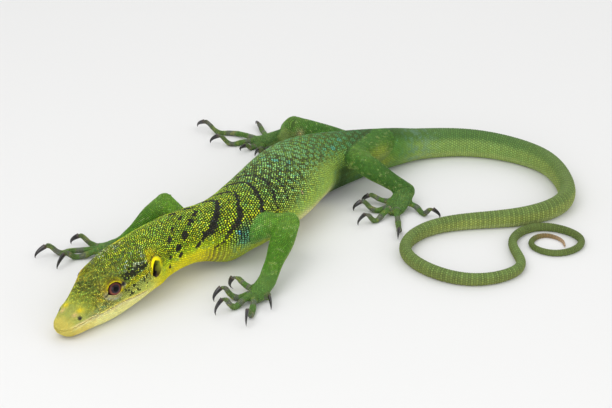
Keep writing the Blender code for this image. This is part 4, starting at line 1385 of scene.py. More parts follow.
class Markings:
    """The animal's colours as functions of the place on the body, shared by skin and scales.

    In every formula s is the distance from the snout in mm and over is degrees up from the side.
    """

    # Spacing in mm of the pale spots along the back and round it.
    ocelli_along = 4.1
    ocelli_round = 4.5

    def colour(self, place: Place) -> Array:
        """Returns the colour of the scales' tops at these places."""
        out = np.empty((len(place.points), 3))
        part = place.part
        for chosen, paint in ((part == 0, self.body), ((part > 0) & (part < 5), self.leg),
                              (part > 4, self.digit)):
            if chosen.any():
                out[chosen] = paint(select(place, chosen))
        broad = noise(place.points, 0.0095, 11)
        fine = noise(place.points, 0.0021, 12)
        return out * (0.90 + 0.14 * broad + 0.10 * fine)[:, None]

    def gaps(self, place: Place) -> Array:
        """Returns the colour of the skin between the scales, darkest on head, nape and bands."""
        body = place.part == 0
        s, over = place.along / MM, place.over
        front = step(84, 100, s) * (1 - step(112, 130, s))
        upper = np.maximum(step(-8, 24, over), step(-34, 0, over) * front)
        nape = 1 - 0.35 * step(140, 165, s)
        dark = np.where(body, 0.30 + 0.66 * nape * upper, 0.62)
        rear = step(205, 245, s)
        dark = np.where(body & (s > 200), dark * (1 - rear) + 0.36 * rear, dark)
        head = step(7, 20, s) * step(-10, 16, over)
        dark = np.where(body & (s < 52), 0.28 + 0.68 * head, dark)
        colour = self.colour(place)
        return mix(wash(colour, (22, 25, 16), dark), colour, bare(place))

    @staticmethod
    def variety(place: Place) -> Array:
        """Returns how much one scale's brightness differs from the next, as a spread of its log."""
        s, body = place.along / MM, place.part == 0
        crown = step(8, 20, s) * step(-24, 16, place.over)
        out = np.where(body, 0.11 + 0.30 * crown * (1 - step(130, 160, s)), 0.17)
        out = np.where(body & (s > 240), 0.07, out)
        for eye in EYES:
            edge, _, _ = eye.zone(place.points)
            out = np.where(body & (s < 50) & (np.abs(edge) < 0.0016), 0.07, out)
        return out

    def body(self, place: Place) -> Array:
        """Returns the colours of head, neck, trunk and tail."""
        s, round_mm = place.along / MM, place.round_mm()
        broad, fine = noise(place.points, 0.006, 1) - 0.5, noise(place.points, 0.0016, 2) - 0.5
        over = place.over + 9 * broad
        back = blend(s, (160, 188, 44), (100, 130, (124, 160, 60)), (165, 225, (64, 100, 40)))
        side = blend(s, (170, 192, 30), (104, 140, (160, 190, 84)), (172, 214, (92, 140, 58)))
        # Painted shade: the underside turns dark green from 168 to 196 mm, by the hind legs.
        under = blend(s, (206, 196, 34), (78, 104, (156, 172, 60)), (118, 145, (214, 210, 150)),
                      (168, 196, (74, 112, 48)), (214, 240, (112, 150, 74)))
        colour = mix(side, back, step(26, 60, over))
        colour = mix(colour, under, step(-6, -34, over))
        throat = step(4, -14, over) * step(52, 60, s) * (1 - step(84, 96, s))
        colour = wash(colour, (218, 208, 30), 0.75 * throat)
        # Painted shade in the hollow between the flank and the hind leg.
        groin = hump(s, 193, 12) * step(30, 2, over)
        colour = wash(colour, (46, 68, 26), 0.95 * groin)
        patch = hump(s, 229, 8) * hump(over, -18, 20) * (np.cos(place.angle) > 0)
        colour = wash(colour, (150, 168, 66), 0.8 * patch)
        colour = self.ocelli(colour, s, over, round_mm, fine)
        colour = self.shoulder(colour, s, place.over, round_mm, fine)
        jag = noise(place.points, 0.0009, 3) - 0.5
        ragged = 1.1 * jag * step(50, 80, s) + 0.4 * fine
        for mark in NECK_MARKS:
            cover = mark.cover(s, place.over, round_mm, ragged)
            colour = wash(colour, (36, 30, 40), 0.97 * cover)
        colour = np.where((s > 236)[:, None], self.tail(colour, s, over, fine), colour)
        head = s < 58
        if head.any():
            painted = self.head(select(place, head), fine[head])
            colour[head] = mix(painted, colour[head], step(50, 58, s[head]))
        return colour

    def ocelli(self, colour: Array, s: Array, over: Array, round_mm: Array, fine: Array) -> Array:
        """Mint spots in staggered rows over the back, with dark brown flecks where four meet.

        Args:
            colour: the ground colour.
            s: distance from the snout in mm.
            over: degrees over the side.
            round_mm: millimetres to a degree.
            fine: fine noise about zero.

        Returns:
            The colours with the spots.
        """
        arc = (90 - over) * round_mm
        lean = s + 0.18 * arc
        row = np.round(lean / self.ocelli_along)
        shift = 0.5 * (row % 2)
        column = np.round(arc / self.ocelli_round - shift)
        wobble = np.sin(row * 12.9898 + column * 78.233) * 43758.5453
        wobble = wobble - np.floor(wobble)
        ds = lean - row * self.ocelli_along + 1.0 * (wobble - 0.5)
        da = arc - (column + shift) * self.ocelli_round + 1.0 * (wobble * 7 % 1 - 0.5)
        gap = np.hypot(ds / (1.45 + 0.30 * wobble), da / (1.55 + 0.3 * (wobble * 3 % 1)))
        gap = gap + 0.5 * fine
        zone = step(112, 132, s) * (1 - step(222, 246, s)) * step(22, 48, over)
        patch = (1 - step(0.75, 1.05, gap)) * zone
        fleck = step(1.08, 1.35, gap) * zone * (1 - 0.60 * step(165, 215, s))
        mint = blend(s, (158, 204, 112), (128, 150, (132, 184, 122)), (150, 185, (100, 168, 104)))
        mint = wash(mint, (92, 174, 150), step(0.93, 0.97, wobble))
        mint = wash(mint, (76, 128, 72), step(180, 225, s))
        colour = wash(colour, (62, 56, 34), 0.80 * fleck)
        return mix(colour, mint, 0.86 * patch)

    @staticmethod
    def shoulder(colour: Array, s: Array, over: Array, round_mm: Array, fine: Array) -> Array:
        """Teal and blue before the shoulder, and the brown lines of the throat's pleats.

        Args:
            colour: the ground colour.
            s: distance from the snout in mm.
            over: degrees over the side.
            round_mm: millimetres to a degree.
            fine: fine noise about zero.

        Returns:
            The colours with both.
        """
        teal = hump(s, 103.5, 5.0) * hump(over, 0.0, 22.0)
        colour = wash(colour, (84, 150, 116), 0.85 * np.clip(1.5 * teal - 0.1 + fine, 0, 1))
        pink = FLANK_PINK.cover(s, over, round_mm, 0.6 * fine)
        colour = wash(colour, (226, 190, 160), 0.7 * pink)
        blue = SHOULDER_BLUE.cover(s, over, round_mm, 0.4 * fine)
        colour = wash(colour, (92, 186, 216), 0.9 * blue)
        lines = 0.5 + 0.5 * np.sin(2 * math.pi * s / 2.1)
        pleats = hump(s, 91.5, 6.0) * step(0, -16, over) * step(0.45, 0.9, lines)
        return wash(colour, (96, 82, 48), 0.75 * pleats)

    @staticmethod
    def tail(colour: Array, s: Array, over: Array, fine: Array) -> Array:
        """Rings along the tail, one row of scales dark and one light, and its pale underside.

        Args:
            colour: the ground colour.
            s: distance from the snout in mm.
            over: degrees over the side.
            fine: fine noise about zero.

        Returns:
            The tail's colours.
        """
        top = blend(s, (90, 126, 64), (290, 380, (120, 144, 76)))
        side = blend(s, (134, 164, 86), (300, 380, (146, 162, 82)), (430, 500, (120, 136, 70)))
        low = blend(s, (156, 178, 100), (300, 380, (160, 174, 104)), (430, 500, (126, 136, 72)))
        tint = mix(side, top, step(16, 44, over))
        tint = mix(tint, low, step(-6, -36, over))
        tint = wash(tint, (116, 150, 132), 0.5 * hump(s, 252, 14) * step(0.0, 0.3, fine + 0.1))
        for low_end, high_end, following in ((560, 610, (106, 124, 64)), (656, 670, (150, 124, 84)),
                                             (670, 681, (206, 174, 140))):
            tint = wash(tint, following, step(low_end, high_end, s))
        dark = step(-0.25, 0.25, np.cos(math.pi * ring_phase(s * MM)))
        depth = 0.10 + 0.24 * step(300, 380, s) - 0.12 * step(600, 660, s)
        depth = depth * (0.55 + 0.45 * step(-30, 15, over))
        tint = wash(tint, (62, 72, 40), depth * dark)
        return mix(colour, tint, step(236, 258, s))

    def head(self, place: Place, fine: Array) -> Array:
        """Returns the head's colours.

        Args:
            place: places on the head.
            fine: fine noise about zero.

        Returns:
            The colours there.
        """
        local = place.on_head()
        along, up = local[:, 0], local[:, 2]
        s, over, round_mm = place.along / MM, place.over, place.round_mm()
        above = up - MOUTH.level(along * MM) / MM
        specks, clumps = noise(place.points, 0.0009, 5), noise(place.points, 0.0030, 15)
        crown = blend(s, (168, 174, 84), (8, 18, (162, 176, 58)), (28, 44, (172, 200, 48)))
        dull = step(0.42, 0.66, specks) * (0.35 + 0.65 * step(0.35, 0.6, clumps))
        crown = wash(crown, (88, 96, 40), 0.75 * dull * step(9, 20, s))
        temple = hump(over, 56, 17) * hump(s, 43, 7.5)
        crown = wash(crown, (204, 224, 176), 0.9 * temple * step(0.56, 0.66, specks))
        crown = wash(crown, (44, 48, 32), 0.85 * temple * (1 - step(0.38, 0.50, specks)))
        cheek = blend(s, (170, 176, 92), (18, 32, (184, 194, 92)))
        dots = step(0.66, 0.70, noise(place.points, 0.0009, 6))
        cheek = wash(cheek, (34, 34, 26), 0.92 * dots * step(24, 32, s) * step(-16, -4, over)
                     * (1 - step(40, 50, over)))
        jaw = blend(s, (222, 206, 112), (8, 18, (230, 226, 148)), (38, 54, (226, 212, 40)))
        colour = mix(cheek, crown, step(22, 40, over + 10 * fine))
        colour = mix(colour, jaw, step(0.4, -0.4, above) * (1 - step(42, 50, s)))
        colour = mix(colour, jaw, step(-8, -26, over) * step(40, 50, s))
        colour = wash(colour, (226, 214, 30), 0.8 * hump(over, -6, 16) * hump(s, 52, 5))
        lip = step(1.25, 0.85, above) * step(0.1, 0.3, above) * (1 - step(40, 43, along))
        yellow = blend(along, (238, 226, 158), (12, 20, (234, 220, 110)))
        colour = mix(colour, yellow, 0.90 * lip)
        lip = step(-1.5, -1.1, above) * step(-0.1, -0.3, above) * (1 - step(39, 43, along))
        colour = wash(colour, (228, 220, 158), 0.7 * lip)
        groove = hump(above, 0.0, 0.20) * (1 - step(41, 43, along))
        colour = wash(colour, (126, 88, 62), 0.9 * groove)
        lores = hump(along, 20.5, 4.0) * hump(over, 40, 13)
        colour = wash(colour, (206, 194, 66), 0.65 * lores)
        streak = EYE_STREAK.cover(s, over, round_mm, 0.5 * fine)
        colour = wash(colour, (214, 214, 28), 0.9 * streak)
        stripe = EYE_STRIPE.cover(s, over, round_mm, 1.2 * (specks - 0.5))
        stripe = stripe * (1 - 0.85 * step(0.58, 0.64, noise(place.points, 0.0006, 16)))
        colour = wash(colour, (34, 32, 32), 0.92 * stripe)
        colour = wash(colour, (204, 190, 92), 0.95 * (1 - step(1.5, 7.0, s + 1.2 * fine)))
        colour = wash(colour, (238, 214, 40), 0.9 * hump(along, 10.6, 1.6) * hump(over, 59, 10))
        colour = wash(colour, (220, 190, 128), 0.85 * hump(along, 7.6, 1.3) * hump(over, 60, 9))
        # Painted shade: each nostril's pit is darkened inside.
        for nostril in NOSTRILS:
            gap = np.linalg.norm(place.points - nostril.centre(), axis=1) / MM
            colour = wash(colour, (58, 54, 56), 1 - step(0.75, 1.15, gap))
        return self.ear_colours(self.eye_colours(colour, place), place)

    @staticmethod
    def eye_colours(colour: Array, place: Place) -> Array:
        """Returns the colours with the rings of lids and folds round the eyes, and painted shade
        inside the opening and in its corners.
        """
        for eye in EYES:
            edge, angle, out = (x / k for x, k in zip(eye.zone(place.points), (MM, 1, MM)))
            upper = np.maximum(step(-0.10, 0.30, np.sin(angle)), sector(angle, -0.70, 0.45))
            rim = mix(ink(236, 228, 150), ink(244, 222, 0), upper)
            fold = mix(ink(224, 222, 176), ink(196, 200, 34), upper)
            ring = wash(rim, (150, 104, 70), 0.8 * hump(edge, 0.98, 0.12) * upper)
            ring = mix(ring, fold, step(1.05, 1.20, edge))
            ring = mix(ring, colour, step(1.7, 2.6 - 0.5 * upper, edge))
            fore = sector(angle, 2.85, 0.45) * step(0.9, 1.4, edge)
            ring = wash(ring, (206, 186, 66), 0.8 * fore * (1 - step(2.6, 3.8, edge)))
            # Painted shade on the wall inside the opening, reaching further under the upper lid.
            upper_lid_shade = 0.10 * step(0.0, 0.8, np.sin(angle))
            ring = wash(ring, (44, 24, 26), 1 - step(-0.10, 0.08, edge - upper_lid_shade))
            # Painted shade in the rear and the front corners of the lids.
            rear_corner_shade = sector(angle, 0.02, 0.26) * hump(edge, 0.8, 1.1)
            ring = wash(ring, (46, 36, 58), np.clip(1.5 * rear_corner_shade, 0, 1))
            front = sector(angle, 3.42, 0.13)
            ring = wash(ring, (40, 36, 32), 0.9 * front * (1 - step(1.2, 2.4, edge)))
            near = (out > -1.5) & (np.abs(edge) < 4.5)
            colour = np.where(near[:, None], ring, colour)
        return colour

    @staticmethod
    def ear_colours(colour: Array, place: Place) -> Array:
        """Returns the colours with the yellow rims, the hollows in painted shade and the dark fringe
        of the ears.
        """
        for ear in EARS:
            x, y, out = ear.zone(place.points)
            reach, facing = np.hypot(x, y), ear.facing(x, y)
            wide = 0.14 + 0.30 * step(0.45, 0.95, facing)
            rim = hump(reach, 1.14 + 0.26 * step(0.4, 1.0, facing), wide + 0.10) \
                * np.clip(facing * 1.7 + 0.55, 0, 1)
            tint = wash(colour, (255, 228, 0), np.clip(2.6 * rim, 0, 1))
            # Painted shade in the hollows: near black in the deep front slit, browner behind and
            # darker again further in.
            pit = blend(x, (20, 13, 13), (0.05, 0.55, (84, 68, 34)))
            pit = wash(pit, (92, 58, 60), 0.7 * hump(x, 0.30, 0.16))
            pit = wash(pit, (30, 20, 16), 0.6 * step(-0.9, -1.8, out / MM))
            tint = mix(tint, pit, 1 - step(0.92, 1.02, reach))
            fringe = hump(reach, 1.48, 0.12) * step(0.0, 0.6, np.sin(np.arctan2(y, x)))
            tint = wash(tint, (40, 38, 24), 0.75 * fringe)
            near = (np.abs(out) < ear.depth) & (reach < 2.2)
            colour = np.where(near[:, None], tint, colour)
        return colour

    @staticmethod
    def leg(place: Place) -> Array:
        """Returns the colours of the legs, palms and soles."""
        share, turn, part = place.share, np.degrees(place.angle), place.part
        fine = noise(place.points, 0.0013, 7)
        broad = noise(place.points, 0.007, 8)
        arm = blend(share, (106, 154, 44), (0.25, 0.6, (84, 134, 36)))
        colour = np.where((part < 3)[:, None], arm,
                          blend(share, (76, 122, 46), (0.4, 0.8, (70, 112, 44))))
        teal = (part == 1) & (share < 0.42)
        blue = wash(colour, (70, 138, 82), 0.35 * (1 - step(0.2, 0.42, share)))
        colour = np.where(teal[:, None], blue, colour)
        rear = (part == 3) & (np.abs(turn) > 110)
        patch = hump(share, 0.27, 0.16) * hump(np.abs(turn), 172, 26)
        colour = np.where(rear[:, None], wash(colour, (158, 174, 66), 0.85 * patch), colour)
        hip = (part == 4) * hump(share, 0.39, 0.025) * hump(np.abs(turn), 180, 24)
        # Painted highlight: the top of each knee and elbow is lighter.
        knee_highlight = hump(share, 0.47, 0.08) * step(20, 70, turn)
        for tint, cover in (((222, 196, 160), 0.6 * hip), ((120, 158, 70), 0.45 * knee_highlight),
                            ((168, 186, 112), 0.32 * step(0.66, 0.80, fine)),
                            ((150, 170, 90), 0.5 * step(-20, -70, turn)),
                            ((104, 140, 74), 0.6 * step(0.80, 0.92, share)),
                            ((112, 124, 96), 0.55 * step(0.90, 0.98, share)
                             * step(0.45, 0.75, broad))):
            colour = wash(colour, tint, cover)
        return colour

    @staticmethod
    def digit(place: Place) -> Array:
        """Returns the colours of fingers and toes, greyer at the joints and towards the claws."""
        fine = noise(place.points, 0.0016, 9)
        colour = blend(place.share, (96, 134, 62), (0.3, 0.9, (104, 124, 74)))
        joints = 0.5 + 0.5 * np.cos(place.share * 16.0 + place.part)
        colour = wash(colour, (120, 112, 116), 0.6 * step(0.55, 0.9, joints))
        colour = wash(colour, (160, 168, 84), 0.45 * step(0.62, 0.8, fine))
        return wash(colour, (74, 70, 62), 0.75 * step(0.90, 0.99, place.share))


def select(place: Place, rows: Array) -> Place:
    """Returns the chosen rows of a place."""
    return Place(*(value[rows] for value in vars(place).values()))


MARKINGS = Markings()

# Spacing of the scales in mm at distances from the snout in mm.
SPACING_AT = (0.0, 12.0, 30.0, 56.0, 90.0, 130.0, 240.0, 300.0, 450.0, 600.0, 688.0)
SPACING = (0.60, 0.74, 0.92, 1.10, 1.20, 1.26, 1.25, 1.25, 1.15, 0.95, 0.72)


# Rows of a hexagonal pattern stand this share of the spacing apart.
ROW_SHARE = 0.866


def spacing(distance: Array) -> Array:
    """Returns the scales' spacing round the body at distances from the snout."""
    return eased(SPACING_AT, SPACING, np.asarray(distance) / MM) * MM


def row_stretch(distance: Array) -> Array:
    """Returns how far apart the rows stand, as a share of the spacing, wider on the tail."""
    return ROW_SHARE * (1 + 0.18 * step(0.235, 0.270, distance))


ROW_STATIONS = between(0.0, SPINE.length, 0.0003)
ROW_COUNTS = np.concatenate([[0.0], np.cumsum(
    np.diff(ROW_STATIONS) / (spacing(ROW_STATIONS) * row_stretch(ROW_STATIONS))[1:])])


def ring_phase(distance: Array) -> Array:
    """Returns how many rows of scales lie before these distances."""
    return np.interp(distance, ROW_STATIONS, ROW_COUNTS)


@dataclass
class Roots:
    """Where scales grow, one row to a scale, with their lengths, ways and places on the unwrap."""

    point: Array
    forward: Array
    outward: Array
    long: Array
    wide: Array
    high: Array
    part: Array
    along: Array
    low: Array
    top: Array
    chart: Array

    @staticmethod
    def plain(point: Array, forward: Array, outward: Array, long: Array, wide: Array,
              high: Array, part: int, along: Array, chart: Array) -> "Roots":
        """Returns one lot of roots that belong anywhere on one part."""
        count = len(point)
        sizes = [np.full(count, value, float) if np.ndim(value) == 0 else value
                 for value in (long, wide, high)]
        return Roots(point, forward, outward, *sizes, np.full(count, part), along,
                     np.full(count, -1.0), np.full(count, 9.0), chart)

    @staticmethod
    def join(lots: Sequence["Roots"]) -> "Roots":
        """Returns many lots as one."""
        return Roots(*(np.concatenate([getattr(lot, key) for lot in lots])
                       for key in vars(lots[0])))

    def keep(self, rows: Array) -> "Roots":
        """Returns the chosen rows."""
        return Roots(*(value[rows] for value in vars(self).values()))


def lattice(rows: Array, girth: Array, pitch: Array) -> tuple[Array, Array]:
    """Staggered scales on rings: each ring holds the whole number that fits its girth.

    Args:
        rows: the rings' numbers.
        girth: the way round each ring.
        pitch: the spacing wanted on each ring.

    Returns:
        The ring of each scale, and its turn as a share, every second ring moved half a scale.
    """
    counts = np.maximum(np.round(girth / pitch).astype(int), 5)
    ring = np.repeat(np.arange(len(rows)), counts)
    number = np.arange(counts.sum()) - np.repeat(np.cumsum(counts) - counts, counts)
    return ring, (number + 0.5 * (rows[ring] % 2)) / counts[ring]


class Chart:
    """The unwrap of the skin: the body in three strips, and each leg and digit in a block."""

    @staticmethod
    def body(distance: Array, turn: Array) -> Array:
        """Returns places on the unwrap for the body, by distance and share of a turn."""
        s = distance / MM
        strip = np.digitize(s, (263.0, 526.0))
        u = (s - strip * 263.0) / 263.0
        low = np.array((0.0, 0.49, 0.68))[strip]
        return np.stack([0.002 + 0.994 * u, low + turn * np.array((0.487, 0.187, 0.067))[strip]], 1)

    @staticmethod
    def leg(number: int, share: Array, turn: Array) -> Array:
        """Returns places for one of four legs, side by side."""
        return np.stack([(number - 1 + 0.02 + 0.94 * share) / 4, 0.752 + 0.155 * turn], 1)

    @staticmethod
    def digit(number: int, share: Array, turn: Array) -> Array:
        """Returns places for one of twenty digits, in two rows of ten."""
        column, row = number % 10, number // 10
        return np.stack([(column + 0.04 + 0.90 * share) / 10, 0.912 + 0.044 * row + 0.04 * turn], 1)


def round_ways(turn: Array) -> tuple[Array, Array]:
    """Returns cosine and sine of shares of a turn, as columns."""
    angle = 2 * math.pi * turn
    return np.cos(angle)[:, None], np.sin(angle)[:, None]


def whole_turn(angle: Array) -> Array:
    """Returns an angle as a share of a turn from 0 to 1."""
    return (angle / (2 * math.pi)) % 1.0


def nearest(points: Array, reach: float, most: int) -> tuple[Array, Array]:
    """Finds the nearest other points of each point.

    The points are taken in order along x, so each block is compared only with those that lie
    within reach of it along x.

    Args:
        points: places, one to a row.
        reach: how far a neighbour may lie.
        most: how many neighbours are kept.

    Returns:
        Which points they are, and how far away, with no limit beyond the reach.
    """
    order = np.argsort(points[:, 0], kind="stable")
    line = points[order]
    found = np.zeros((len(points), most), int)
    gaps = np.full((len(points), most), np.inf)
    for at in range(0, len(line), 500):
        block = line[at: at + 500]
        low, high = np.searchsorted(line[:, 0], (block[0, 0] - reach, block[-1, 0] + reach))
        middle = block.mean(0)
        a, b = (block - middle).astype(np.float32), (line[low:high] - middle).astype(np.float32)
        square = (a**2).sum(1)[:, None] + (b**2).sum(1) - 2 * a @ b.T
        own = np.arange(len(block))
        square[own, own + at - low] = np.inf
        keep = min(most, square.shape[1] - 1)
        pick = np.argpartition(square, keep, axis=1)[:, :keep]
        rows = order[at + own]
        found[rows, :keep] = order[low + pick]
        gaps[rows, :keep] = np.sqrt(np.maximum(np.take_along_axis(square, pick, 1), 1e-14))
    return found, np.where(gaps < reach, gaps, np.inf)


def lay(points: Array, skin: bpy.types.Object) -> Array:
    """Returns the points of the skin that lie nearest these points."""
    mesh = bpy.data.meshes.new("seats")
    mesh.vertices.add(len(points))
    mesh.vertices.foreach_set("co", points.astype(np.float32).ravel())
    holder = bpy.data.objects.new("seats", mesh)
    bpy.context.scene.collection.objects.link(holder)
    wrap = holder.modifiers.new("lay", "SHRINKWRAP")
    wrap.target = skin
    wrap.wrap_method = "NEAREST_SURFACEPOINT"
    bpy.context.view_layer.update()
    found = read_points(holder.evaluated_get(bpy.context.evaluated_depsgraph_get()).to_mesh())
    bpy.data.objects.remove(holder)
    bpy.data.meshes.remove(mesh)
    return found


def bare(place: Place) -> Array:
    """Returns where the skin carries no scales, as 1: lids' edges, ears, nostrils and mouth."""
    out = np.zeros(len(place.points))
    head = (place.part == 0) & (place.along < 0.062)
    for eye in EYES:
        edge, _, _ = eye.zone(place.points)
        close = np.linalg.norm(place.points - eye.centre(), axis=1) < 0.0062
        out = np.maximum(out, head * close * (1 - step(0.00016, 0.00026, edge)))
    for ear in EARS:
        x, y, height = ear.zone(place.points)
        edge = np.hypot(x, y) - 1.02 - 0.36 * step(0.2, 0.8, ear.facing(x, y))
        out = np.maximum(out, head * (np.abs(height) < ear.depth) * (1 - step(-0.02, 0.04, edge)))
    for nostril in NOSTRILS:
        gap = np.linalg.norm(place.points - nostril.centre(), axis=1)
        out = np.maximum(out, head * (1 - step(0.00095, 0.00115, gap)))
    local = place.on_head()
    above = np.abs(local[:, 2] - MOUTH.level(local[:, 0] * MM) / MM)
    lips = (place.along > 0.0012) & (local[:, 0] < 42.5) & head
    return np.maximum(out, lips * (1 - step(0.26, 0.34, above)))



@dataclass(frozen=True)
class Coat:
    """The scales: closed domes of six sides, scattered on the head and in rings elsewhere.

    On the head they are spread over the skin until they stand evenly. Everywhere each scale's
    corners reach half way to its neighbours, so that scales fit against each other.
    """

    seed: int = 7
    sink: float = 0.00008
    reach: float = 0.00030
    head_end: float = 0.0600
    rounds: int = 21
    fit: float = 0.965
    # Half a scale's length as a share of the pitch, and the pitches along a leg.
    long_share: float = 0.577
    leg_pitches: tuple = (0.00102, 0.00094, 0.00082)
    body_names: tuple = ("head", "neck", "trunk_front", "trunk_rear", "tail_base", "tail_middle",
                         "tail_end")
    body_cuts: tuple = (0.0580, 0.1120, 0.1700, 0.2350, 0.3000, 0.4200)

    def head_spacing(self, place: Place) -> Array:
        """Returns the spacing of the head's scales, least on the lids and round the ears."""
        spread_out = spacing(place.along)
        for eye in EYES:
            edge, _, _ = eye.zone(place.points)
            close = np.linalg.norm(place.points - eye.centre(), axis=1) < 0.0070
            small = 0.00042 + 0.00026 * step(0.0008, 0.0026, edge)
            spread_out = np.where(close, np.minimum(spread_out, small), spread_out)
        for ear in EARS:
            x, y, out = ear.zone(place.points)
            small = 0.00055 + 0.00030 * step(1.3, 2.2, np.hypot(x, y))
            close = np.abs(out) < ear.depth
            spread_out = np.where(close, np.minimum(spread_out, small), spread_out)
        return spread_out

    def scatter(self, skin: bpy.types.Object) -> Array:
        """Drops points on the head's skin, as many to an area as the spacing there asks for.

        Args:
            skin: the finished skin.

        Returns:
            The points, one to a row.
        """
        rng = np.random.default_rng(self.seed)
        skin.data.calc_loop_triangles()
        corners = read(skin.data.loop_triangles, "vertices", 3, np.int32)
        points = read_points(skin.data)
        near_head = np.linalg.norm(points - SPINE.at(np.array([0.03])), axis=1) < 0.040
        corners = corners[near_head[corners].all(axis=1)]
        place = ANATOMY.locate(points[corners].mean(axis=1))
        kept = (place.part == 0) & (place.along < self.head_end) & (bare(place) < 0.5)
        corners, place = corners[kept], select(place, kept)
        a, b, c = (points[corners[:, k]] for k in range(3))
        area = np.linalg.norm(np.cross(b - a, c - a), axis=1) / 2
        weight = area / (ROW_SHARE * self.head_spacing(place) ** 2)
        order = np.lexsort((place.angle, np.floor(place.along / 0.0007)))
        total = np.cumsum(weight[order])
        pick = order[np.searchsorted(total, np.arange(int(total[-1])) + 0.5)]
        u, v = rng.random((2, len(pick)))
        u, v = np.where(u + v > 1, 1 - u, u), np.where(u + v > 1, 1 - v, v)
        return a[pick] + u[:, None] * (b - a)[pick] + v[:, None] * (c - a)[pick]

    def head_roots(self, skin: bpy.types.Object, lips: Roots, behind: Roots) -> Roots:
        """Spreads scales over the head, about the lips' scales and before the neck's rows.

        Each point is pushed away from its neighbours again and again and laid back on the skin.

        Args:
            skin: the finished skin.
            lips: the larger scales along the mouth, which stay where they are.
            behind: the rows behind the head, which stay too.

        Returns:
            The roots of the head's scales.
        """
        loose = self.scatter(skin)
        rows = behind.along < self.head_end + 0.003
        held = np.concatenate([lips.point, behind.point[rows]])
        cloud = np.concatenate([loose, lay(held, skin)])
        free = len(loose)
        want = self.head_spacing(ANATOMY.locate(cloud))
        for turn in range(self.rounds):
            found, gaps = nearest(cloud, 0.0016, 8)
            both = 1.22 * (want[:, None] + want[found]) / 2
            push = np.clip(1 - gaps / both, 0, 1) * np.isfinite(gaps)
            away = (cloud[:, None] - cloud[found]) / np.where(np.isfinite(gaps), gaps, 1)[..., None]
            move = 0.42 * (push[..., None] * away).sum(axis=1) * want[:, None]
            cloud[:free] += move[:free]
            if turn % 3 == 2:
                cloud[:free] = lay(cloud[:free], skin)
        loose = cloud[:free]
        place = ANATOMY.locate(loose)
        tangent = SPINE.tangents(np.clip(place.along, 0.0005, None))
        outward = unit(loose - SPINE.at(np.clip(place.along, 0.0, None)))
        forward = unit(tangent - outward * np.sum(tangent * outward, axis=1, keepdims=True))
        pitch = self.head_spacing(place)
        return Roots.plain(loose, forward, outward, pitch * self.long_share, pitch / 2,
                           0.28 * pitch, 0, place.along,
                           Chart.body(np.clip(place.along, 0, None), whole_turn(place.angle)))

    @staticmethod
    def on_shell(distance: Array, angle: Array) -> tuple[Array, Array]:
        """Returns places on the body's shell and the unit ways back along it."""
        points = BODY.shell(distance, angle[:, None])[0][:, 0]
        ahead = BODY.shell(distance + 0.0004, angle[:, None])[0][:, 0]
        return points, unit(ahead - points)

    def body_roots(self) -> Roots:
        """Returns the roots of the scales of neck, trunk and tail."""
        first = int(np.ceil(ring_phase(np.array(self.head_end))))
        rows = np.arange(first, int(ROW_COUNTS[-1]) - 1)
        distance = np.interp(rows, ROW_COUNTS, ROW_STATIONS)
        angles = np.tile(np.arange(72) * 2 * math.pi / 72, (len(rows), 1))
        ring, _ = BODY.shell(distance, angles)
        girth = np.linalg.norm(np.roll(ring, -1, axis=1) - ring, axis=2).sum(1)
        row, turn = lattice(rows, girth, spacing(distance))
        s, angle = distance[row], 2 * math.pi * turn
        rng = np.random.default_rng(self.seed + 1)
        loose = 0.09 * (1 - 0.6 * step(0.235, 0.260, s))
        s = s + loose * spacing(s) * rng.standard_normal(len(s)).clip(-2, 2)
        angle = angle + loose * rng.standard_normal(len(s)).clip(-2, 2) * spacing(s) \
            / (girth[row] / (2 * math.pi))
        points, forward = self.on_shell(s, angle)
        aside = BODY.shell(s, angle[:, None] + 0.02)[0][:, 0]
        outward = unit(np.cross(aside - points, forward))
        outward *= np.sign(np.sum(outward * (points - SPINE.at(s)), axis=1, keepdims=True))
        pitch = spacing(s)
        high = eased((0, 50, 90, 240, 688), (0.20, 0.22, 0.21, 0.17, 0.12), s / MM) * MM
        return Roots.plain(points, forward, outward, pitch * row_stretch(s) / 1.5, pitch / 2,
                           high, 0, s, Chart.body(s, turn % 1.0))

    def leg_roots(self, number: int, leg: Leg) -> Roots:
        """Returns the roots of one leg's scales, beyond each joint over the rounded end."""
        lots, run = [], 0.0
        total = sum(length.span for length in leg.lengths())
        for length, pitch in zip(leg.lengths(), self.leg_pitches):
            start, span, way, side = length.start, length.span, length.way, length.side
            first, last = length.wide[0], length.wide[-1]
            at = np.arange(-first * 0.95, span + last * 0.95, pitch * ROW_SHARE)
            cap = np.where(at < 0, -at / first, np.maximum(at - span, 0) / last)
            shrink = np.sqrt(np.maximum(1 - cap**2, 0.02))
            a, b = (half * shrink for half in length.halves(np.clip(at / span, 0.0, 1.0)))
            row, turn = lattice(np.arange(len(at)), math.pi * (a + b), np.full(len(at), pitch))
            cos, sin, up = *round_ways(turn), np.cross(side, way)
            points = start + at[row][:, None] * way + a[row][:, None] * cos * side \
                + b[row][:, None] * sin * up
            lot = Roots.plain(points, np.ones((len(row), 1)) * way, unit(cos * side + sin * up),
                              pitch * self.long_share, pitch / 2, 0.00017, number, run + at[row],
                              Chart.leg(number, np.clip((run + at[row]) / total, 0, 1), turn % 1.0))
            lot.low[:] = run - (0.0004 if run else 1.0)
            lot.top[:] = run + span + (1.0 if pitch == self.leg_pitches[-1] else 0.0)
            lots.append(lot)
            run += span
        return Roots.join(lots)

    @staticmethod
    def digit_roots(number: int, digit: Digit) -> Roots:
        """Returns the roots of one digit's scales."""
        length, pitch = digit.path().length, 0.00074
        at = np.arange(0.0, length - 0.0002, pitch * 0.9)
        places, tangents, sides, ups = digit.frames(at)
        radius = digit.radius(at)
        row, turn = lattice(np.arange(len(at)), 2 * math.pi * radius, np.full(len(at), pitch))
        cos, sin = round_ways(turn)
        outward = cos * sides[row] + sin * ups[row]
        return Roots.plain(places[row] + radius[row][:, None] * outward, tangents[row], outward,
                           pitch * 0.60, pitch / 2, 0.00013, 5 + number, at[row],
                           Chart.digit(number, at[row] / length, turn % 1.0))

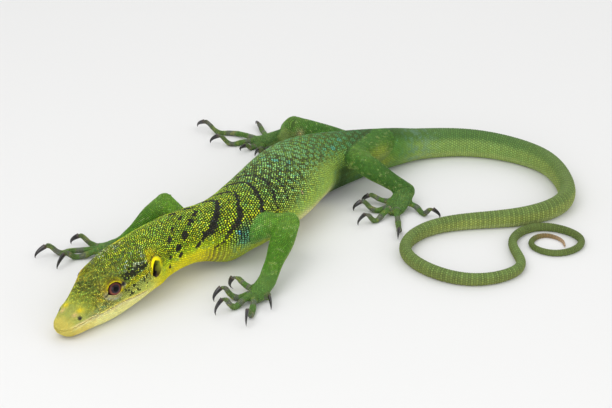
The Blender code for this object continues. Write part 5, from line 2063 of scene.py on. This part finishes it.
    def lip_roots(self) -> Roots:
        """Returns the larger scales in one row above and one below the mouth on each side."""
        lots = []
        for side in (0, 1):
            for over in (1, -1):
                s = between(0.0014, 0.0418, 0.00112) + (0.00056 if over < 0 else 0.0)
                width, rise, drop, _ = BODY.sizes(s)
                angle = BODY.mouth_angle(s) + over * 0.00062 / np.minimum(
                    0.5 * (rise + drop), width)
                angle = math.pi - angle if side else angle
                points, forward = self.on_shell(s, angle)
                lots.append(Roots.plain(
                    points, forward, unit(points - SPINE.at(s)), 0.00066, 0.00038, 0.00012, 0, s,
                    Chart.body(s, whole_turn(angle))))
        return Roots.join(lots)

    def seat(self, roots: Roots, skin: bpy.types.Object) -> tuple[Array, Array, Array, Array]:
        """Lays each root and two points beside it on the skin, which gives place and slope.

        Args:
            roots: the scales' roots.
            skin: the finished skin.

        Returns:
            Places, ways forward, ways aside and normals.
        """
        aside = unit(np.cross(roots.outward, roots.forward))
        found = lay(np.concatenate([roots.point, roots.point + roots.forward * self.reach,
                                    roots.point + aside * self.reach]), skin).reshape(3, -1, 3)
        forward, across = found[1] - found[0], found[2] - found[0]
        weak = (np.linalg.norm(forward, axis=1) < 0.3 * self.reach)[:, None]
        forward = unit(np.where(weak, roots.forward, forward))
        weak = (np.linalg.norm(across, axis=1) < 0.3 * self.reach)[:, None]
        across = np.where(weak, aside, across)
        normal = unit(np.cross(forward, unit(across)))
        normal *= np.sign(np.sum(normal * roots.outward, axis=1, keepdims=True))
        return found[0], forward, unit(np.cross(normal, forward)), normal

    @staticmethod
    def choose(roots: Roots, place: Place, normal: Array) -> Array:
        """Returns which scales stay: on their own part, clear of openings, the floor and others."""
        keep = (place.part == roots.part) & (place.along >= roots.low) & (place.along < roots.top)
        keep &= ~((place.points[:, 2] < 0.00022) & (normal[:, 2] < -0.6))
        keep &= bare(place) < 0.5
        found, gaps = nearest(place.points, 0.0014, 4)
        size = roots.wide
        crowded = (gaps < 0.95 * np.minimum(size[:, None], size[found])) & keep[found] \
            & (found < np.arange(len(size))[:, None])
        return keep & ~crowded.any(axis=1)

    def cells(self, roots: Roots, frames: tuple) -> tuple[Array, Array]:
        """Angles and reaches of every scale's six corners, half way to its neighbours.

        The corners point between the neighbours: the sixth power of the neighbours' directions
        is summed and its angle is divided by six. A corner reaches to where the line half way
        to any neighbour is met, or to a little over the scale's own half size.

        Args:
            roots: the scales' roots.
            frames: places, ways forward, ways aside and normals.

        Returns:
            Angles from the way forward, and reaches, six to a row.
        """
        point, forward, aside, normal = frames
        found, gaps = nearest(point, 0.0024, 9)
        off = point[found] - point[:, None]
        x, y = (off * forward[:, None]).sum(-1), (off * aside[:, None]).sum(-1)
        flat = np.maximum(np.hypot(x, y), 1e-7)
        agree = np.isfinite(gaps) & ((normal[found] * normal[:, None]).sum(-1) > 0.1)
        turn = np.arctan2(y, x)
        pull = agree * np.exp(-((flat / (2.6 * roots.wide[:, None])) ** 4))
        first = np.angle((pull * np.exp(6j * turn)).sum(1) + 1e-9) / 6 + math.pi / 6
        angle = first[:, None] + np.arange(6) * math.pi / 3
        facing = np.cos(turn[:, None] - angle[..., None])
        met = np.where(agree[:, None] & (facing > 0.2),
                       flat[:, None] / 2 / np.maximum(facing, 0.2), np.inf).min(axis=2)
        round_size = 1 / np.hypot(np.cos(angle) / (roots.long[:, None] * 1.12),
                                  np.sin(angle) / (roots.wide[:, None] * 1.30))
        s = roots.along / MM
        beads = (roots.part == 0) * step(12, 24, s) * (1 - 0.7 * step(128, 150, s)) \
            * step(-0.35, 0.35, normal[:, 2])
        fit = self.fit - 0.17 * beads
        return angle, np.minimum(met, round_size) * fit[:, None]

    def build(self, skin: bpy.types.Object) -> list[tuple[str, bpy.types.Object]]:
        """Builds every scale, joined in pieces by part of the animal.

        Args:
            skin: the finished skin that carries the scales.

        Returns:
            Each piece with the slot that it belongs to.
        """
        lips, body = self.lip_roots(), self.body_roots()
        lots = [lips, self.head_roots(skin, lips, body), body]
        lots += [self.leg_roots(i, leg) for i, leg in enumerate(LEGS, 1)]
        lots += [self.digit_roots(i, digit) for i, digit in enumerate(DIGITS)]
        roots = Roots.join(lots)
        point, forward, aside, normal = self.seat(roots, skin)
        place = ANATOMY.locate(point)
        keep = self.choose(roots, place, normal)
        roots, place = roots.keep(keep), select(place, keep)
        frames = tuple(x[keep] for x in (point, forward, aside, normal))
        angle, reach = self.cells(roots, frames)
        log.info("scales: %d", len(roots.part))
        names = [f"scales_{name}" for name in self.body_names]
        names += [f"scales_{leg.kind.value}_{leg.word}" for leg in LEGS]
        names += ["scales_fingers", "scales_toes"]
        group = np.where(roots.part == 0, np.digitize(place.along, self.body_cuts),
                         len(self.body_names) - 1 + roots.part)
        group = np.where(roots.part > 4, len(names) - 2 + (roots.part - 5) // 10, group)
        pieces = []
        for number, name in enumerate(names):
            rows = group == number
            slot = "tail_skin" if "tail" in name else "body_skin"
            slot = "throat_skin" if "neck" in name else slot
            pieces.append((slot, self.piece(name, roots.keep(rows), select(place, rows),
                                            tuple(x[rows] for x in frames), angle[rows],
                                            reach[rows])))
        return pieces

    def piece(self, name: str, roots: Roots, place: Place, frames: tuple, angle: Array,
              reach: Array) -> bpy.types.Object:
        """One joined mesh of scales.

        Each scale is a hexagon sunk in the skin, a smaller one above it and an apex set a little
        back, so six quads and six triangles rise from a flat base. Its map is a small patch about
        its root's place on the unwrap.

        Args:
            name: the object's name.
            roots: the scales' roots.
            place: where they lie on the animal.
            frames: their places, ways forward, ways aside and normals on the skin.
            angle: angles of the corners from the way forward.
            reach: how far the corners reach.

        Returns:
            The mesh object.
        """
        rng = np.random.default_rng(self.seed + len(roots.part))
        point, forward, aside, normal = (x[:, None] for x in frames)
        count = len(roots.part)
        mean = reach.mean(axis=1, keepdims=True)
        inner = 0.66 * (0.6 * reach + 0.4 * mean)
        ahead = np.concatenate([np.cos(angle) * reach, np.cos(angle) * inner + 0.05 * mean,
                                0.16 * mean], axis=1)
        across = np.concatenate([np.sin(angle) * reach, np.sin(angle) * inner, 0 * mean], axis=1)
        high = roots.high * (1 + 0.12 * rng.standard_normal(count).clip(-2, 2))
        high = high * np.clip(mean[:, 0] / (0.5 * (roots.long + roots.wide)), 0.4, 1.1)
        lift = np.concatenate([np.zeros(6), np.full(6, 0.74), [1.0]])
        rise = lift * high[:, None] - self.sink * (lift == 0)
        points = (point + ahead[..., None] * forward + across[..., None] * aside
                  + rise[..., None] * normal)
        points[..., 2] = np.maximum(points[..., 2], 0.00002)
        base = np.arange(count)[:, None, None] * 13
        k, j = np.arange(6), np.roll(np.arange(6), -1)
        bottom = (base[:, 0] + k[::-1])
        walls = (base + np.stack([k, j, j + 6, k + 6], 1)[None]).reshape(-1, 4)
        tops = (base + np.stack([k + 6, j + 6, np.full(6, 12)], 1)[None]).reshape(-1, 3)
        thing = new_object(name, points.reshape(-1, 3), [bottom, walls, tops])
        top, gap = MARKINGS.colour(place), MARKINGS.gaps(place)
        vary = MARKINGS.variety(place)
        light = np.exp(vary * rng.standard_normal(count).clip(-2.2, 2.2))[:, None]
        warm = 1 + (0.5 * vary * rng.standard_normal(count).clip(-2, 2))[:, None] \
            * np.array((1.0, 0.25, -1.0))
        top = top * light * warm
        # Painted highlight: each dome's apex is lighter than its upper ring, most on the beads of
        # head and neck.
        beads = 1.12 + 0.22 * (place.part == 0) * (1 - step(128, 165, place.along / MM))
        rings = [mix(gap, top, 0.04)] * 6 + [top] * 6 + [top * beads[:, None]]
        write_attribute(thing.data, "marking", np.stack(rings, 1).reshape(-1, 3).clip(0, 1))
        size = 0.5 * (roots.long + roots.wide)[:, None]
        local = np.stack([ahead, across], -1) / size[..., None] * 0.0012
        chart = (roots.chart[:, None] + local).reshape(-1, 2).clip(0, 1)
        corners = read(thing.data.loops, "vertex_index", 1, np.int32)
        layer = thing.data.uv_layers.new(name="OFBake")
        layer.data.foreach_set("uv", chart[corners].astype(np.float32).ravel())
        return thing


class Graph:
    """A material in the making: its shader, and the nodes added with what feeds them."""

    def __init__(self, name: str, inputs: dict) -> None:
        """Starts a material whose shader has these inputs."""
        self.material = bpy.data.materials.new(name)
        self.material.use_nodes = True
        self.tree = self.material.node_tree
        self.shader = self.tree.nodes["Principled BSDF"]
        self.feed(self.shader, inputs)

    def feed(self, node: bpy.types.Node, inputs: dict) -> None:
        """Sets a node's inputs to values, or links them from other nodes' outputs."""
        for key, value in inputs.items():
            if isinstance(value, bpy.types.NodeSocket):
                self.tree.links.new(value, node.inputs[key])
            else:
                node.inputs[key].default_value = value

    def add(self, kind: str, output: str, inputs: dict, **fields: str) -> bpy.types.NodeSocket:
        """Adds a node with its fields and inputs, and returns the output that is used."""
        node = self.tree.nodes.new("ShaderNode" + kind)
        for key, value in fields.items():
            setattr(node, key, value)
        self.feed(node, inputs)
        return node.outputs[output]


@dataclass(frozen=True)
class Hide:
    """A finish whose colour is the mesh's own marking, with a fine grain."""

    name: str
    roughness: float
    grain: float
    grain_scale: float
    coat: float = 0.0
    gleam: float = 0.30

    def build(self) -> bpy.types.Material:
        """Returns the material: marking times a soft variation, and bump from noise."""
        graph = Graph(self.name, {"Roughness": self.roughness, "Specular IOR Level": self.gleam,
                                  "Coat Weight": self.coat, "Coat Roughness": 0.30})
        marking = graph.add("Attribute", "Color", {}, attribute_name="marking")
        place = graph.add("TexCoord", "Object", {})
        grain = graph.add("TexNoise", "Fac",
                          {"Vector": place, "Scale": self.grain_scale, "Detail": 3.0})
        shade = graph.add("MapRange", "Result", {"Value": grain, "To Min": 0.86, "To Max": 1.12})
        tint = graph.add("VectorMath", "Vector", {0: marking, "Scale": shade}, operation="SCALE")
        bump = graph.add("Bump", "Normal",
                         {"Height": grain, "Strength": self.grain, "Distance": 0.0001})
        graph.feed(graph.shader, {"Base Color": tint, "Normal": bump})
        return graph.material


@dataclass(frozen=True)
class EyeGlass:
    """The eye's finish: black pupil, dark ring and a rust brown iris under a clear coat."""

    pupil: float

    def stops(self) -> tuple:
        """Returns angles from the pupil's middle in radians, each with its linear colour."""
        return ((0.0, (0.001, 0.001, 0.002)), (self.pupil + 0.030, (0.001, 0.001, 0.002)),
                (self.pupil + 0.070, (0.022, 0.015, 0.020)), (0.50, (0.030, 0.018, 0.024)),
                (0.56, (0.110, 0.030, 0.022)), (0.66, (0.190, 0.058, 0.040)),
                (0.76, (0.120, 0.032, 0.026)), (0.86, (0.036, 0.010, 0.012)),
                (1.0, (0.012, 0.005, 0.006)))

    def build(self) -> bpy.types.Material:
        """Returns the material, coloured by the angle from the pupil's middle, with painted shade on
        the upper iris and painted light on the lower.
        """
        graph = Graph("eye", {"Roughness": 0.35, "Specular IOR Level": 0.05, "Coat Weight": 0.35,
                              "Coat IOR": 1.38, "Coat Roughness": 0.03})
        polar = graph.add("Attribute", "Fac", {}, attribute_name="polar")
        place = graph.add("TexCoord", "Object", {})
        grain = graph.add("TexNoise", "Fac", {"Vector": place, "Scale": 1400.0})
        wander = graph.add("Math", "Value", {0: grain, 1: 0.05, 2: polar},
                           operation="MULTIPLY_ADD")
        iris = graph.add("ValToRGB", "Color", {"Fac": wander})
        elements, stops = iris.node.color_ramp.elements, self.stops()
        elements[0].color = (*stops[0][1], 1.0)
        elements[-1].position = stops[-1][0]
        elements[-1].color = (*stops[-1][1], 1.0)
        for at, colour in stops[1:-1]:
            elements.new(at).color = (*colour, 1.0)
        # Painted shade and light: the iris darkens towards the top, as under the upper lid, and
        # lightens towards the bottom.
        turn = graph.add("Attribute", "Fac", {}, attribute_name="turn")
        height = graph.add("Math", "Value", {0: turn}, operation="SINE")
        iris_shade_and_light = graph.add("MapRange", "Result", {"Value": height, "From Min": -1.0,
                                                "From Max": 0.7, "To Min": 1.5, "To Max": 0.45})
        tint = graph.add("VectorMath", "Vector", {0: iris, "Scale": iris_shade_and_light}, operation="SCALE")
        graph.feed(graph.shader, {"Base Color": tint})
        return graph.material


@dataclass(frozen=True)
class Studio:
    """Pale floor, soft lights and the camera at the photograph's angle."""

    camera_place: tuple = (-0.0053626, -0.6501136, 0.3243954)
    pitch_down: float = 26.0
    lens: float = 85.0
    sensor: float = 36.0
    floor_side: float = 8.0
    floor_drop: float = 0.00005
    room_light: float = 0.68
    # Name, place, side and power of each lamp.
    lamps: tuple = (("key", (-0.55, -0.45, 1.10), 0.9, 5.0), ("fill", (0.90, -0.30, 0.80), 1.0, 2.4),
                    ("back", (0.10, 0.90, 0.90), 1.0, 2.6),
                    ("front", (-0.10, -1.10, 0.30), 0.7, 5.0))

    def build(self) -> None:
        """Makes the camera, the floor and the lights."""
        scene = bpy.context.scene
        camera = bpy.data.cameras.new("camera")
        camera.lens = self.lens
        camera.sensor_width = self.sensor
        holder = bpy.data.objects.new("camera", camera)
        holder.location = self.camera_place
        holder.rotation_euler = (math.radians(90 - self.pitch_down), 0.0, 0.0)
        scene.collection.objects.link(holder)
        scene.camera = holder
        half = self.floor_side / 2
        corners = [(x * half, y * half, -self.floor_drop)
                   for x, y in ((-1, -1), (1, -1), (1, 1), (-1, 1))]
        floor = new_object("floor", corners, [np.array([[0, 1, 2, 3]])])
        paper = Graph("paper", {"Base Color": (0.78, 0.78, 0.775, 1.0), "Roughness": 0.85})
        floor.data.materials.append(paper.material)
        for lamp in self.lamps:
            self.light(*lamp)
        world = bpy.data.worlds.new("room")
        world.use_nodes = True
        sky = world.node_tree.nodes["Background"]
        sky.inputs["Color"].default_value = (1.0, 1.0, 1.0, 1.0)
        sky.inputs["Strength"].default_value = self.room_light
        scene.world = world
        scene.view_settings.view_transform = "Standard"

    @staticmethod
    def light(name: str, place: tuple, size: float, power: float) -> None:
        """Adds a square soft light at a place, turned towards the animal."""
        lamp = bpy.data.lights.new(name, "AREA")
        lamp.size = size
        lamp.energy = power
        holder = bpy.data.objects.new(name, lamp)
        way = unit(np.array((0.0, 0.0, 0.01)) - np.array(place))
        holder.location = place
        pitch = math.acos(-way[2])
        holder.rotation_euler = (pitch, 0.0, math.atan2(way[1], way[0]) - math.pi / 2)
        bpy.context.scene.collection.objects.link(holder)


def finish(thing: bpy.types.Object, material: bpy.types.Material,
           nodes: Sequence[str] = ()) -> None:
    """Dresses one piece, fixes it to the body and hides the solids that it takes the place of.

    Args:
        thing: the piece.
        material: its finish.
        nodes: solids that it replaces.
    """
    thing.data.materials.clear()
    thing.data.materials.append(material)
    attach(thing, "root")
    if nodes:
        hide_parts(*nodes)
    log.info("%s: %d faces", thing.name, len(thing.data.polygons))


def main() -> None:
    """Builds skin, scales, eyes, claws and studio in order."""
    skin = Skin().build()
    place = ANATOMY.locate(read_points(skin.data))
    write_attribute(skin.data, "marking", MARKINGS.gaps(place).clip(0, 1))
    flesh = [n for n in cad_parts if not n.startswith(("claw", "eye"))]
    finish(skin, Hide("skin", 0.55, 0.35, 2600.0, 0.0, 0.15).build(), flesh)
    scale_finish = Hide("scale", 0.50, 0.15, 5200.0, 0.0, 0.12).build()
    for slot, piece in Coat().build(skin):
        finish(piece, scale_finish)
    horn = Hide("horn", 0.24, 0.10, 1800.0, 0.3, 0.5).build()
    for digit in DIGITS:
        finish(digit.claw(), horn, [f"claw_{digit.owner}_{digit.number}"])
    glass = EyeGlass(EYES[0].pupil).build()
    for eye in EYES:
        finish(eye.build(), glass, ["eye_" + eye.word])
    Studio().build()


if __name__ == "__main__":
    logging.basicConfig(level=logging.INFO, format="%(name)s: %(message)s")
    main()
